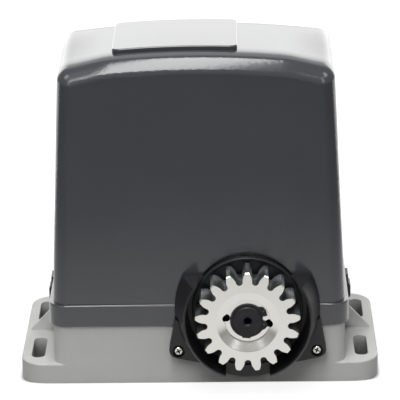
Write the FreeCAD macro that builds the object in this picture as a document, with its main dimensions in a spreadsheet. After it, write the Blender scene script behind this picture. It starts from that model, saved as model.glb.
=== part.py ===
"""Sliding gate motor: cast base with gearbox, induction motor, hood, rack pinion and guard.

Frame: +X to the right when facing the gate side, +Y away from the gate, +Z up, in millimetres.
The origin is the middle of the base flange's underside. The pinion shaft points to -Y.
"""
import FreeCAD, Part
import math
import os
import re

import Sketcher

# Driving dimensions, in millimetres and degrees. Each alias is a cell of the size sheet.
SIZES = {
    # base casting
    "flange_half_width": 132.0,
    "flange_half_depth": 69.5,
    "flange_thick": 15.0,
    "flange_edge_fillet": 1.2,
    "flange_corner": 18.0,
    "slot_place_x": 120.0,
    "slot_place_y": 37.0,
    "slot_width": 10.0,
    "slot_length": 38.0,
    "body_half_width": 107.0,
    "body_rear": 64.5,
    "body_corner": 9.0,
    "body_top": 45.2,
    "rim_inset": 1.2,
    "rim_top": 58.0,
    "rim_rear": 62.8,
    "cavity_corner": 6.0,
    "slot_end_radius": 4.999,
    "guard_boss_radius": 6.0,
    "guard_boss_back": 58.5,
    "guard_boss_length": 6.0,
    "guard_hole_back": 61.5,
    "mouth_cut_back": 55.5,
    "nose_gap": 0.3,
    "cable_x": -25.0,
    "cable_y": 38.0,
    "cable_radius": 15.0,
    "floor_hole_low": 3.0,
    "floor_thick": 8.0,
    "wall_inset": 6.0,
    "web_thick": 3.2,
    "web_foot": 129.0,
    "web_knee": 114.4,
    "web_knee_height": 30.5,
    "web_top_height": 38.5,
    # cover
    "band_half_width": 109.8,
    "band_front": 71.0,
    "band_rear": 66.5,
    "band_bottom": 45.4,
    "band_top": 61.4,
    "hood_half_width": 107.0,
    "hood_front": 68.5,
    "hood_rear": 64.1,
    "hood_corner": 11.0,
    "band_corner": 12.5,
    "hood_sink": 0.4,
    "hood_loft_top": 256.0,
    "hood_top_half_width": 98.8,
    "hood_top_front": 57.9,
    "hood_top_rear": 41.1,
    "crown_radius": 695.0,
    "crown_height": 246.0,
    "crown_edge_fillet": 10.0,
    "crown_edge_zone": 12.0,
    "band_edge_fillet": 1.0,
    "cover_wall": 3.0,
    "skirt_side_wall": 3.5,
    "skirt_front_wall": 2.7,
    "skirt_rear_wall": 3.3,
    "skirt_corner": 7.5,
    "skirt_top": 60.0,
    "cavity_bottom": 59.0,
    "cavity_top": 233.0,
    "taper_side": 1.0,
    "taper_front": 1.3,
    "taper_rear": 2.8,
    "collar_back": 63.5,
    "mouth_cut_start": 57.5,
    "mouth_trim_half": 50.0,
    "notch_start": 52.1,
    "mouth_radius": 41.0,
    "lip_width": 1.8,
    "lip_front": 71.9,
    "pad_left": -60.4,
    "pad_right": 29.9,
    "pad_front": 40.0,
    "pad_rear": 34.0,
    "pad_thick": 3.0,
    "pad_corner": 5.0,
    "pad_edge_fillet": 1.0,
    "pad_edge_zone": 0.2,
    "seal_thick": 1.0,
    "seal_cut_front": 40.0,
    # side clips
    "clip_half": 7.0,
    "clip_low": 41.5,
    "clip_foot_top": 43.5,
    "clip_foot_reach": 3.2,
    "clip_reach": 3.9,
    "clip_knee": 50.5,
    "clip_neck": 53.5,
    "clip_neck_reach": 2.0,
    "clip_top": 59.8,
    # rack pinion on the output axis
    "gear_axis_x": 35.5,
    "gear_axis_z": 59.0,
    "pinion_module": 4.0,
    "pinion_teeth": 17.0,
    "pinion_front": 99.8,
    "pinion_width": 22.2,
    "pinion_backlash": 0.1,
    "root_round": 2.35,
    "tooth_cut_back": 70.0,
    "bore_cut_back": 60.0,
    "tip_chamfer": 0.8,
    "dish_outer": 22.8,
    "dish_fall": 2.8,
    "dish_edge_fillet": 1.2,
    "hub_outer": 16.6,
    "hub_depth": 4.5,
    "rear_hub_outer": 20.0,
    "rear_hub_back": 74.2,
    "puller_radius": 15.5,
    "puller_hole": 2.85,
    "puller_tilt": 7.8,
    "shaft_radius": 11.0,
    "shaft_front": 98.0,
    "key_width": 6.0,
    "key_low": 7.6,
    "key_high": 13.6,
    "key_gap": 0.2,
    "key_length": 18.0,
    "key_slot_length": 18.5,
    "key_slot_top": 22.0,
    "wheel_key_low": 11.0,
    "wheel_key_high": 16.6,
    "key_angle": 184.0,
    "key_chamfer": 0.9,
    "circlip_inner": 10.3,
    "circlip_outer": 12.7,
    "circlip_eye": 0.8,
    "circlip_thick": 1.2,
    "groove_gap": 0.1,
    "end_chamfer": 0.8,
    "centre_chamfer": 0.9,
    "end_tap_radius": 2.6,
    "end_tap_depth": 16.0,
    "end_tap_cone": 1.5,
    "front_journal": 12.5,
    "collar_radius": 17.0,
    "collar_gap": 0.3,
    "rear_journal": 10.0,
    "wheel_seat_reach": 4.0,
    "shaft_rear": 8.5,
    "rod_bore_gap": 0.4,
    "rod_bore_room": 2.0,
    # pinion guard
    "guard_back": 71.2,
    "guard_front": 98.6,
    "guard_back_outer": 53.0,
    "guard_front_outer": 46.2,
    "guard_back_inner": 43.3,
    "guard_front_inner": 44.9,
    "guard_rim_bevel": 0.5,
    "guard_rim_chamfer": 1.2,
    "guard_rear_land": 1.5,
    "guard_bore": 14.0,
    "guard_plate_thick": 2.0,
    "guard_plate_radius": 40.4,
    "guard_bead_inner": 38.7,
    "guard_bead_front": 75.2,
    "guard_bead_fillet": 0.7,
    "guard_ear_height": 25.5,
    "guard_notch_half": 16.0,
    "guard_notch_top": 35.0,
    "guard_tab_front": 79.0,
    "guard_tab_half": 58.4,
    "guard_tab_low": -34.6,
    "guard_tab_corner": 6.4,
    "guard_screw_x": 50.5,
    "guard_screw_z": -30.7,
    "guard_screw_seat": 76.0,
    "counterbore_radius": 4.65,
    # gearbox
    "case_radius": 50.0,
    "case_front": 46.0,
    "case_rear": 4.0,
    "case_cavity": 42.0,
    "case_cavity_front": 33.0,
    "nose_radius": 29.5,
    "nose_front": 70.3,
    "seal_seat_radius": 19.0,
    "seal_seat_back": 62.0,
    "seal_front": 69.0,
    "seal_rear": 62.2,
    "seal_wall": 1.5,
    "seal_face": 2.0,
    "seal_lip_root": 14.5,
    "nose_bore": 14.0,
    "front_seat_front": 45.0,
    "front_seat_radius": 23.5,
    "foot_thick": 10.0,
    "foot_left": -40.0,
    "foot_right": 97.0,
    "foot_corner": 4.0,
    "column_sink": 2.0,
    "cover_hub_radius": 27.0,
    "cover_hub_rear": 13.0,
    "cover_seat_radius": 21.0,
    "cover_seat_rear": 9.0,
    "cover_plate_rear": 2.0,
    "spigot_gap": 0.1,
    "spigot_depth": 3.0,
    "rod_hole_gap": 0.2,
    "worm_centre_distance": 47.0,
    "worm_module": 2.5,
    "wheel_teeth": 30.0,
    "wheel_middle_y": -20.0,
    "wheel_half_width": 10.0,
    "wheel_bore": 14.0,
    "worm_root": 6.3,
    "worm_pitch_radius": 9.5,
    "worm_tip": 11.9,
    "worm_backlash": 0.7,
    "worm_turns": 6.0,
    "thread_sink": 0.3,
    "worm_journal": 5.0,
    "rotor_low": 20.5,
    "worm_low": 29.0,
    "worm_high": 87.0,
    "web_outer": 31.0,
    "web_inner": 20.0,
    "web_recess": 4.9,
    "column_radius": 15.9,
    "column_bore": 13.2,
    "lower_seat_low": 20.0,
    "lower_seat_radius": 13.0,
    "lower_seat_length": 8.01,
    "worm_bore_low": 28.0,
    "worm_bore_length": 73.0,
    "upper_seat_low": 100.0,
    "upper_seat_radius": 14.0,
    "upper_seat_length": 15.0,
    "plate_hole_room": 2.6,
    "motor_hole_low": 112.0,
    "motor_radius": 36.0,
    "motor_flange_low": 109.6,
    "motor_flange_top": 114.0,
    "motor_rim_inner": 32.0,
    "stator_low": 124.0,
    "stator_high": 182.0,
    "stator_inner": 21.3,
    "rotor_radius": 20.7,
    "rotor_ring_step": 3.0,
    "rotor_ring_reach": 5.0,
    "motor_shaft_radius": 6.0,
    "motor_shaft_low": 114.0,
    "motor_shaft_high": 190.0,
    "rotor_high": 206.0,
    "shield_recess": 0.6,
    "small_bearing": 8.0,
    "rear_bearing_front": 3.0,
    "motor_bolt_ring": 34.0,
    "motor_bolt_radius": 1.5,
    "motor_bolt_head": 3.4,
    "motor_bolt_seat": 195.0,
    "motor_bolt_length": 83.0,
    "winding_inner": 22.5,
    "winding_outer": 31.5,
    "winding_height": 8.0,
    "winding_round": 1.0,
    "shield_bore": 6.5,
    "shield_hub": 17.0,
    "shield_seat": 13.0,
    "shield_inside": 191.0,
    "shield_shoulder": 198.0,
    "shield_seat_top": 200.0,
    "shield_top": 203.0,
    "shield_bevel": 2.0,
    "running_gap": 0.03,
    "seat_gap": 0.02,
    # manual release on the rear
    "release_boss_radius": 17.0,
    "release_boss_rear": 67.2,
    "release_bush_outer": 13.0,
    "release_journal": 10.0,
    "release_front": 55.0,
    "bore_start": 49.0,
    "release_lever_reach": 38.0,
    "journal_gap": 0.06,
    "lever_gap": 0.4,
    "lever_hub_radius": 15.0,
    "lever_hub_length": 10.0,
    "lever_hub_bevel": 2.0,
    "lever_root_half": 7.0,
    "lever_end_half": 5.0,
    "lever_tip_half": 2.0,
    "lever_tip_bevel": 4.0,
    "lever_thick": 7.0,
    "cam_reach": 11.0,
    "rod_bevel": 1.0,
    "rod_head_thick": 4.0,
    "follower_pin": 1.5,
    "follower_end": 48.4,
    "rod_radius": 4.0,
    "rod_head_radius": 8.0,
    "rod_front": -20.0,
    "rod_rear": 36.2,
    "cam_low": 36.0,
    "cam_middle": 45.0,
    "follower_radius": 6.0,
    "rod_travel": 5.0,
    # electrical parts
    "board_left": -68.0,
    "board_right": 78.0,
    "board_low": 118.0,
    "board_high": 212.0,
    "board_front": 27.0,
    "board_thick": 1.6,
    "bracket_front": 19.0,
    "bracket_thick": 2.0,
    "plate_margin": 12.0,
    "plate_drop": 8.0,
    "leg_left_outer": -60.0,
    "leg_left_inner": -46.0,
    "leg_right_inner": 76.0,
    "leg_right_outer": 90.0,
    "leg_foot_rear": 35.0,
    "hole_margin": 6.0,
    "standoff_radius": 3.5,
    "board_screw": 1.5,
    "board_screw_head": 2.8,
    "board_screw_height": 1.8,
    "strip_margin": 14.0,
    "strip_depth": 10.0,
    "strip_low": 2.0,
    "strip_high": 14.0,
    "strip_first": 6.0,
    "strip_pitch": 11.0,
    "strip_entry": 2.2,
    "strip_entry_floor": 4.0,
    "relay_width": 19.0,
    "relay_depth": 12.0,
    "relay_low": 24.0,
    "relay_high": 39.0,
    "chip_depth": 2.6,
    "core_left": -97.0,
    "core_right": -45.0,
    "core_front": -44.0,
    "core_rear": 4.0,
    "core_top": 56.0,
    "core_yoke": 8.0,
    "core_middle_left": -77.5,
    "core_middle_right": -64.5,
    "coil_front": -52.0,
    "coil_rear": 12.0,
    "coil_low": 18.0,
    "coil_high": 46.0,
    "can_x": -80.0,
    "can_y": 38.0,
    "can_radius": 17.5,
    "can_height": 80.0,
    "can_lid_step": 2.0,
    "can_lid_height": 4.0,
    "can_tag_radius": 1.6,
    "can_tag_height": 9.0,
    "can_tag_place": 6.0,
    "clamp_radius": 19.2,
    "clamp_height": 12.0,
    "clamp_low": 38.0,
    "saddle_left": 38.0,
    "saddle_right": 66.0,
    "saddle_front": -44.0,
    "saddle_rear": -30.0,
    "saddle_low": 100.0,
    "saddle_high": 112.0,
    "tongue_front": -56.0,
    "sensor_margin": 2.0,
    "sensor_top": 124.0,
    "grommet_flange": 19.0,
    "grommet_top": 11.0,
    "grommet_inner_top": 12.0,
    "grommet_inner": 10.0,
    "grommet_web": 3.0,
    # screws and shared gaps
    "screw_small": 2.0,
    "screw_small_head": 3.5,
    "screw_large": 3.0,
    "screw_large_head": 5.0,
    "small_head_height": 2.5,
    "large_head_height": 4.0,
    "large_grip": 5.0,
    "plate_screw_grip": 4.5,
    "floor_grip": 7.0,
    "earth_head": 4.5,
    "earth_grip": 5.0,
    "plate_screw_ring": 46.0,
    "sink_depth": 1.0,
    "part_gap": 0.6,
    "flush_gap": 0.1,
    "clear_margin": 10.0,
    "short_cut": 20.0,
    "long_cut": 60.0,
}

FLAT = 0.01
DEDENDUM = 1.25
PRESSURE_ANGLE = math.radians(20.0)
INNER_LAND = 0.28
OUTER_LAND = 0.22
ALIAS = re.compile(r"\b[a-z]+(?:_[a-z]+)+\b")
X_AXIS = FreeCAD.Vector(1, 0, 0)
Y_AXIS = FreeCAD.Vector(0, 1, 0)
Z_AXIS = FreeCAD.Vector(0, 0, 1)

doc = FreeCAD.newDocument("sliding_gate_motor")
sheet = doc.addObject("Spreadsheet::Sheet", "sizes")
for row, (alias, number) in enumerate(SIZES.items(), start=1):
    sheet.set("A%d" % row, alias)
    sheet.set("B%d" % row, "%g" % number)
    sheet.setAlias("B%d" % row, alias)
doc.recompute()

SUB_PARTS = []


# ---------------------------------------------------------------- helpers
def linked(expression):
    """Expression over the aliases, written as other objects must name the sheet's cells."""
    return ALIAS.sub(lambda match: "sizes." + match.group(0), str(expression))


def value(expression):
    """Number that an expression over the size sheet gives now."""
    answer = sheet.evalExpression(str(expression))
    return float(getattr(answer, "Value", answer))


def bind(thing, **properties):
    """Bind properties of an object to expressions over the size sheet."""
    for name, expression in properties.items():
        thing.setExpression(name, linked(expression))


def place(thing, x="0", y="0", z="0", axis=None, angle=0.0):
    """Put an object at a place bound to the sheet, turned by a fixed angle about an axis."""
    if axis is not None:
        thing.Placement = FreeCAD.Placement(FreeCAD.Vector(), FreeCAD.Rotation(axis, angle))
    for letter, expression in (("x", x), ("y", y), ("z", z)):
        thing.setExpression("Placement.Base." + letter, linked(expression))
    return thing


def sub_part(thing, label):
    """Name a finished sub-part and list it for the export."""
    thing.Label = label
    SUB_PARTS.append(thing)
    return thing


def new_body(name):
    """Empty body."""
    return doc.addObject("PartDesign::Body", name)


class Profile:
    """Sketch on an origin plane of a body, whose points are bound to the size sheet."""

    def __init__(self, body, name, plane="XY_Plane", offset="0"):
        """Start a sketch on the named plane, moved along the plane's normal by offset."""
        self.sketch = body.newObject("Sketcher::SketchObject", name)
        support = [item for item in body.Origin.OriginFeatures if item.Role == plane][0]
        self.sketch.AttachmentSupport = [(support, "")]
        self.sketch.MapMode = "FlatFace"
        if offset != "0":
            self.sketch.setExpression("AttachmentOffset.Base.z", linked(offset))

    def fix(self, kind, geometry, point, expression):
        """Distance of a point from the sketch's origin, along one direction."""
        constraint = Sketcher.Constraint(kind, -1, 1, geometry, point, value(expression))
        self.link(self.sketch.addConstraint(constraint), expression)

    def link(self, index, expression):
        """Bind one constraint to an expression."""
        self.sketch.setExpression("Constraints[%d]" % index, linked(expression))

    def polygon(self, points):
        """Closed outline through points, given as pairs of expressions."""
        first = self.sketch.GeometryCount
        count = len(points)
        corners = [FreeCAD.Vector(value(x), value(y), 0) for x, y in points]
        for index in range(count):
            segment = Part.LineSegment(corners[index], corners[(index + 1) % count])
            self.sketch.addGeometry(segment)
        for index in range(count):
            after = first + (index + 1) % count
            self.sketch.addConstraint(Sketcher.Constraint("Coincident", first + index, 2, after, 1))
        for index, (x, y) in enumerate(points):
            self.fix("DistanceX", first + index, 1, x)
            self.fix("DistanceY", first + index, 1, y)
        return self

    def circle(self, x, y, radius):
        """Circle round a centre."""
        centre = FreeCAD.Vector(value(x), value(y), 0)
        index = self.sketch.addGeometry(Part.Circle(centre, Z_AXIS, value(radius)))
        self.fix("DistanceX", index, 3, x)
        self.fix("DistanceY", index, 3, y)
        size = self.sketch.addConstraint(Sketcher.Constraint("Radius", index, value(radius)))
        self.link(size, radius)
        return self

    def rounded(self, left, right, low, high, radius):
        """Rectangle with round corners."""
        turns = (("right", "low", 270), ("right", "high", 0), ("left", "high", 90), ("left", "low", 180))
        sides = {"left": (left, "+"), "right": (right, "-"), "low": (low, "+"), "high": (high, "-")}
        arcs = []
        for across, up, start in turns:
            x = "(%s) %s (%s)" % (sides[across][0], sides[across][1], radius)
            y = "(%s) %s (%s)" % (sides[up][0], sides[up][1], radius)
            ring = Part.Circle(FreeCAD.Vector(value(x), value(y), 0), Z_AXIS, value(radius))
            arc = Part.ArcOfCircle(ring, math.radians(start), math.radians(start + 90))
            index = self.sketch.addGeometry(arc)
            arcs.append(index)
            self.fix("DistanceX", index, 3, x)
            self.fix("DistanceY", index, 3, y)
            size = self.sketch.addConstraint(Sketcher.Constraint("Radius", index, value(radius)))
            self.link(size, radius)
        for number, index in enumerate(arcs):
            following = arcs[(number + 1) % 4]
            start = self.sketch.getPoint(index, 2)
            end = self.sketch.getPoint(following, 1)
            line = self.sketch.addGeometry(Part.LineSegment(start, end))
            self.sketch.addConstraint(Sketcher.Constraint("Tangent", index, 2, line, 1))
            self.sketch.addConstraint(Sketcher.Constraint("Tangent", line, 2, following, 1))
        return self

    def crown(self, half_width, height, radius, top):
        """Region above a shallow arch, whose crest is at a height on the sketch's middle line."""
        reach = value(half_width)
        bend = value(radius)
        crest = value(height)
        side_height = crest - bend + math.sqrt(bend * bend - reach * reach)
        left = FreeCAD.Vector(-reach, side_height, 0)
        right = FreeCAD.Vector(reach, side_height, 0)
        middle = FreeCAD.Vector(0, crest, 0)
        arc = self.sketch.addGeometry(Part.Arc(left, middle, right))
        corners = [(right, reach), (left, -reach)]
        over = [FreeCAD.Vector(reach, value(top), 0), FreeCAD.Vector(-reach, value(top), 0)]
        path = [corners[0][0], over[0], over[1], corners[1][0]]
        lines = []
        for begin, end in zip(path, path[1:]):
            lines.append(self.sketch.addGeometry(Part.LineSegment(begin, end)))
        joints = ((lines[0], 2, lines[1], 1), (lines[1], 2, lines[2], 1))
        for first, first_end, second, second_end in joints:
            self.sketch.addConstraint(
                Sketcher.Constraint("Coincident", first, first_end, second, second_end))
        self.fix("DistanceX", lines[0], 1, half_width)
        self.fix("DistanceX", lines[2], 2, "-(%s)" % half_width)
        for line, point in ((lines[0], 2), (lines[1], 2)):
            self.fix("DistanceY", line, point, top)
        for line in (lines[0], lines[2]):
            self.sketch.addConstraint(Sketcher.Constraint("Vertical", line))
        ends = {1: self.sketch.getPoint(arc, 1), 2: self.sketch.getPoint(arc, 2)}
        for end, point in ends.items():
            line, side = (lines[0], 1) if point.x > 0 else (lines[2], 2)
            self.sketch.addConstraint(Sketcher.Constraint("Coincident", arc, end, line, side))
        self.fix("DistanceX", arc, 3, "0")
        self.fix("DistanceY", arc, 3, "(%s) - (%s)" % (height, radius))
        size = self.sketch.addConstraint(Sketcher.Constraint("Radius", arc, value(radius)))
        self.link(size, radius)

    def strip(self, left, right, middle_height, inner, outer):
        """Slice of a ring between two upright lines, with the ring's middle on the sketch's Y axis."""
        bends = (value(inner), value(outer))
        sides = (value(left), value(right))
        middle = value(middle_height)
        arcs = []
        for bend in bends:
            ends = [FreeCAD.Vector(x, middle + math.sqrt(bend * bend - x * x), 0) for x in sides]
            crest = FreeCAD.Vector(0, middle + bend, 0)
            arcs.append(self.sketch.addGeometry(Part.Arc(ends[0], crest, ends[1])))
        for arc, radius in zip(arcs, (inner, outer)):
            self.fix("DistanceX", arc, 3, "0")
            self.fix("DistanceY", arc, 3, middle_height)
            size = self.sketch.addConstraint(Sketcher.Constraint("Radius", arc, value(radius)))
            self.link(size, radius)
        for x, expression in zip(sides, (left, right)):
            ends = []
            for arc in arcs:
                found = 1 if abs(self.sketch.getPoint(arc, 1).x - x) < 0.01 else 2
                ends.append((arc, found))
            points = [self.sketch.getPoint(arc, end) for arc, end in ends]
            line = self.sketch.addGeometry(Part.LineSegment(points[0], points[1]))
            for (arc, end), line_end in zip(ends, (1, 2)):
                joint = Sketcher.Constraint("Coincident", line, line_end, arc, end)
                self.sketch.addConstraint(joint)
            self.sketch.addConstraint(Sketcher.Constraint("Vertical", line))
            self.fix("DistanceX", line, 1, expression)

    def turned_rectangle(self, half_width, inner, outer, clock):
        """Rectangle that reaches from inner to outer along a clock direction from the origin."""
        forward = ("sin(%s)" % clock, "cos(%s)" % clock)
        across = ("cos(%s)" % clock, "-sin(%s)" % clock)
        corners = []
        for out, side in ((inner, "-"), (inner, "+"), (outer, "+"), (outer, "-")):
            corner = []
            for direction in (0, 1):
                corner.append("(%s) * (%s) %s (%s) * (%s)" % (
                    out, forward[direction], side, half_width, across[direction]))
            corners.append(tuple(corner))
        return self.polygon(corners)


def feature(body, kind, name, profile, length=None, through=False, symmetric=False, back=False):
    """Pad or Pocket of a profile."""
    made = body.newObject("PartDesign::" + kind, name)
    made.Profile = profile.sketch
    if through:
        made.Type = "ThroughAll"
    else:
        bind(made, Length=length)
    if symmetric:
        made.SideType = "Symmetric"
    made.Reversed = back
    body.Tip = made
    return made


def turn(body, kind, name, profile, axis="V_Axis"):
    """Revolution or Groove of a profile about one of its sketch's axes."""
    made = body.newObject("PartDesign::" + kind, name)
    made.Profile = profile.sketch
    made.ReferenceAxis = (profile.sketch, [axis])
    made.Angle = 360.0
    body.Tip = made
    return made


def round_edges(body, name, radius, chosen, kind="Fillet"):
    """Fillet or chamfer the edges of a body's tip whose bounding boxes are chosen."""
    doc.recompute()
    base = body.Tip
    names = []
    for number, edge in enumerate(base.Shape.Edges, start=1):
        if chosen(edge.BoundBox):
            names.append("Edge%d" % number)
    made = body.newObject("PartDesign::" + kind, name)
    made.Base = (base, names)
    if kind == "Fillet":
        bind(made, Radius=radius)
    else:
        bind(made, Size=radius)
    body.Tip = made
    return made


def turned_part(label, points, upright=False, x="0", y="0", z="0"):
    """Turned piece from a half section of (radius, place along the axis) points.

    The axis is Z if upright, else Y.
    """
    body = new_body(label)
    profile = Profile(body, label + "_section", "XZ_Plane" if upright else "XY_Plane")
    turn(body, "Revolution", label + "_turned", profile.polygon(points))
    place(body, x, y, z)
    return sub_part(body, label)


def round_bar(radius, length, x, y, z, along=Z_AXIS):
    """Cylinder whose first end is at a place, along Z or along the given axis."""
    bar = doc.addObject("Part::Cylinder", "bar")
    bind(bar, Radius=radius, Height=length)
    if along == Y_AXIS:
        return place(bar, x, y, z, X_AXIS, -90.0)
    if along == -Y_AXIS:
        return place(bar, x, y, z, X_AXIS, 90.0)
    if along == X_AXIS:
        return place(bar, x, y, z, Y_AXIS, 90.0)
    return place(bar, x, y, z)


def block(x_low, x_high, y_low, y_high, z_low, z_high):
    """Box between bound planes."""
    box = doc.addObject("Part::Box", "block")
    bind(
        box,
        Length="(%s) - (%s)" % (x_high, x_low),
        Width="(%s) - (%s)" % (y_high, y_low),
        Height="(%s) - (%s)" % (z_high, z_low),
    )
    return place(box, x_low, y_low, z_low)


def fused(name, pieces):
    """Union of several objects."""
    made = doc.addObject("Part::MultiFuse", name)
    made.Shapes = pieces
    return made


def cut(name, base, tools):
    """Base less one tool or several."""
    made = doc.addObject("Part::Cut", name)
    made.Base = base
    made.Tool = tools[0] if len(tools) == 1 else fused(name + "_tools", tools)
    return made


def group(label, pieces):
    """Several equal pieces in one node, each still its own solid."""
    made = doc.addObject("Part::Compound", label)
    made.Links = pieces
    return sub_part(made, label)


def screw(radius, head_radius, head_height, length, x, y, z, along):
    """Screw whose head stands on the given place, with its shank going the other way."""
    head = round_bar(head_radius, head_height, x, y, z, along)
    shank = round_bar(radius, length, x, y, z, -along)
    if along == Z_AXIS:
        shank.Placement = FreeCAD.Placement(FreeCAD.Vector(), FreeCAD.Rotation(X_AXIS, 180.0))
        place(shank, x, y, z)
    return fused("screw", [head, shank])


def involute(angle):
    """Involute function of a pressure angle in radians."""
    return math.tan(angle) - angle


def tooth_half_angle(radius, module, teeth, backlash):
    """Half the angle that a tooth takes up at a radius, for a 20 degree involute gear."""
    pressure = PRESSURE_ANGLE
    pitch = module * teeth / 2.0
    base = pitch * math.cos(pressure)
    at_pitch = math.pi / (2.0 * teeth) - backlash / (4.0 * pitch)
    local = math.acos(min(1.0, base / max(radius, base)))
    return at_pitch + involute(pressure) - involute(local)


def flank_points(module, teeth, backlash, root, tip, middle, side):
    """Points up one flank of the tooth centred on the angle middle, from root to tip."""
    steps = 4
    points = []
    for step in range(steps + 1):
        radius = root + (tip - root) * step / steps
        angle = middle + side * tooth_half_angle(radius, module, teeth, backlash)
        points.append(FreeCAD.Vector(radius * math.cos(angle), radius * math.sin(angle), 0))
    return points


# ---------------------------------------------------------------- base casting
def make_base():
    """Cast base: slotted flange, hollow box body with rim, side webs and bosses."""
    body = new_body("base_casting_body")
    outline = Profile(body, "flange_outline")
    outline.rounded("-flange_half_width", "flange_half_width", "-flange_half_depth",
                    "flange_half_depth", "flange_corner")
    feature(body, "Pad", "flange", outline, "flange_thick")
    round_edges(body, "flange_edge", "flange_edge_fillet",
                lambda box: box.ZMin > value("flange_thick") - FLAT)
    walls = Profile(body, "body_outline", offset="floor_thick")
    walls.rounded("-body_half_width", "body_half_width", "-flange_half_depth", "body_rear",
                  "body_corner")
    feature(body, "Pad", "body_walls", walls, "body_top - floor_thick")
    rim = Profile(body, "rim_outline", offset="floor_thick")
    rim.rounded("-body_half_width + rim_inset", "body_half_width - rim_inset",
                "-flange_half_depth + rim_inset", "rim_rear",
                "body_corner - rim_inset")
    feature(body, "Pad", "rim", rim, "rim_top - floor_thick")
    boss = Profile(body, "release_boss_outline", "XZ_Plane", "-body_rear")
    boss.circle("gear_axis_x", "gear_axis_z", "release_boss_radius")
    feature(body, "Pad", "release_boss", boss, "body_rear - release_front - sink_depth")
    tail = Profile(body, "release_tail_outline", "XZ_Plane", "-body_rear")
    tail.circle("gear_axis_x", "gear_axis_z", "release_boss_radius")
    feature(body, "Pad", "release_tail", tail, "release_boss_rear - body_rear", back=True)
    web = Profile(body, "web_outline", "XZ_Plane")
    web.polygon([
        ("body_half_width - sink_depth", "flange_thick - sink_depth"),
        ("web_foot", "flange_thick - sink_depth"),
        ("web_foot", "flange_thick"),
        ("web_knee", "web_knee_height"),
        ("body_half_width - sink_depth", "web_top_height"),
    ])
    right_web = feature(body, "Pad", "right_web", web, "web_thick", symmetric=True)
    left_web = body.newObject("PartDesign::Mirrored", "left_web")
    left_web.Originals = [right_web]
    side_plane = [item for item in body.Origin.OriginFeatures if item.Role == "YZ_Plane"][0]
    left_web.MirrorPlane = (side_plane, [""])
    body.Tip = left_web
    cavity = Profile(body, "cavity_outline", offset="floor_thick")
    cavity.rounded("-body_half_width + wall_inset", "body_half_width - wall_inset",
                   "-flange_half_depth + wall_inset", "body_rear - wall_inset",
                   "cavity_corner")
    feature(body, "Pocket", "base_cavity", cavity, "rim_top + clear_margin", back=True)
    inner_boss = Profile(body, "inner_boss_outline", "XZ_Plane", "-release_front - sink_depth")
    inner_boss.circle("gear_axis_x", "gear_axis_z", "release_boss_radius")
    feature(body, "Pad", "inner_boss", inner_boss,
            "body_rear - release_front - 2 * sink_depth", back=True)
    guard_bosses = Profile(body, "guard_boss_outline", "XZ_Plane", "guard_boss_back")
    for side in ("-", "+"):
        x = "gear_axis_x %s guard_screw_x" % side
        guard_bosses.circle(x, "gear_axis_z + guard_screw_z", "guard_boss_radius")
    feature(body, "Pad", "guard_bosses", guard_bosses, "guard_boss_length")
    slots = Profile(body, "slot_outline")
    for across in ("-", "+"):
        for along in ("-", "+"):
            x = "(%sslot_place_x)" % across
            y = "(%sslot_place_y)" % along
            slots.rounded(x + " - slot_width / 2", x + " + slot_width / 2",
                          y + " - slot_length / 2", y + " + slot_length / 2",
                          "slot_end_radius")
    feature(body, "Pocket", "slots", slots, through=True, back=True)
    front_mouth = Profile(body, "front_mouth_outline", "XZ_Plane", "mouth_cut_back")
    front_mouth.circle("gear_axis_x", "gear_axis_z", "nose_radius + nose_gap")
    feature(body, "Pocket", "front_mouth", front_mouth, "long_cut", back=True)
    release_bore = Profile(body, "release_bore_outline", "XZ_Plane", "-bore_start")
    release_bore.circle("gear_axis_x", "gear_axis_z", "release_bush_outer")
    feature(body, "Pocket", "release_bore", release_bore, "long_cut")
    guard_holes = Profile(body, "guard_hole_outline", "XZ_Plane", "guard_hole_back")
    for side in ("-", "+"):
        x = "gear_axis_x %s guard_screw_x" % side
        guard_holes.circle(x, "gear_axis_z + guard_screw_z", "screw_small")
    feature(body, "Pocket", "guard_holes", guard_holes, "short_cut", back=True)
    floor_holes = Profile(body, "floor_hole_outline", offset="floor_hole_low")
    for x, y in CASE_SCREWS:
        floor_holes.circle(x, y, "screw_large")
    for x, y in BRACKET_SCREWS + EARTH_SCREW:
        floor_holes.circle(x, y, "screw_small")
    feature(body, "Pocket", "floor_holes", floor_holes, "short_cut", back=True)
    cable_hole = Profile(body, "cable_hole_outline")
    cable_hole.circle("cable_x", "cable_y", "cable_radius")
    feature(body, "Pocket", "cable_hole", cable_hole, "floor_thick", back=True)
    sub_part(body, "base_casting")


CASE_SCREWS = [("-34", "-39"), ("-34", "-11"), ("91", "-39"), ("91", "-11")]
BRACKET_SCREWS = [("-53", "27"), ("84", "27")]
EARTH_SCREW = [("20", "40")]
make_base()


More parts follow.
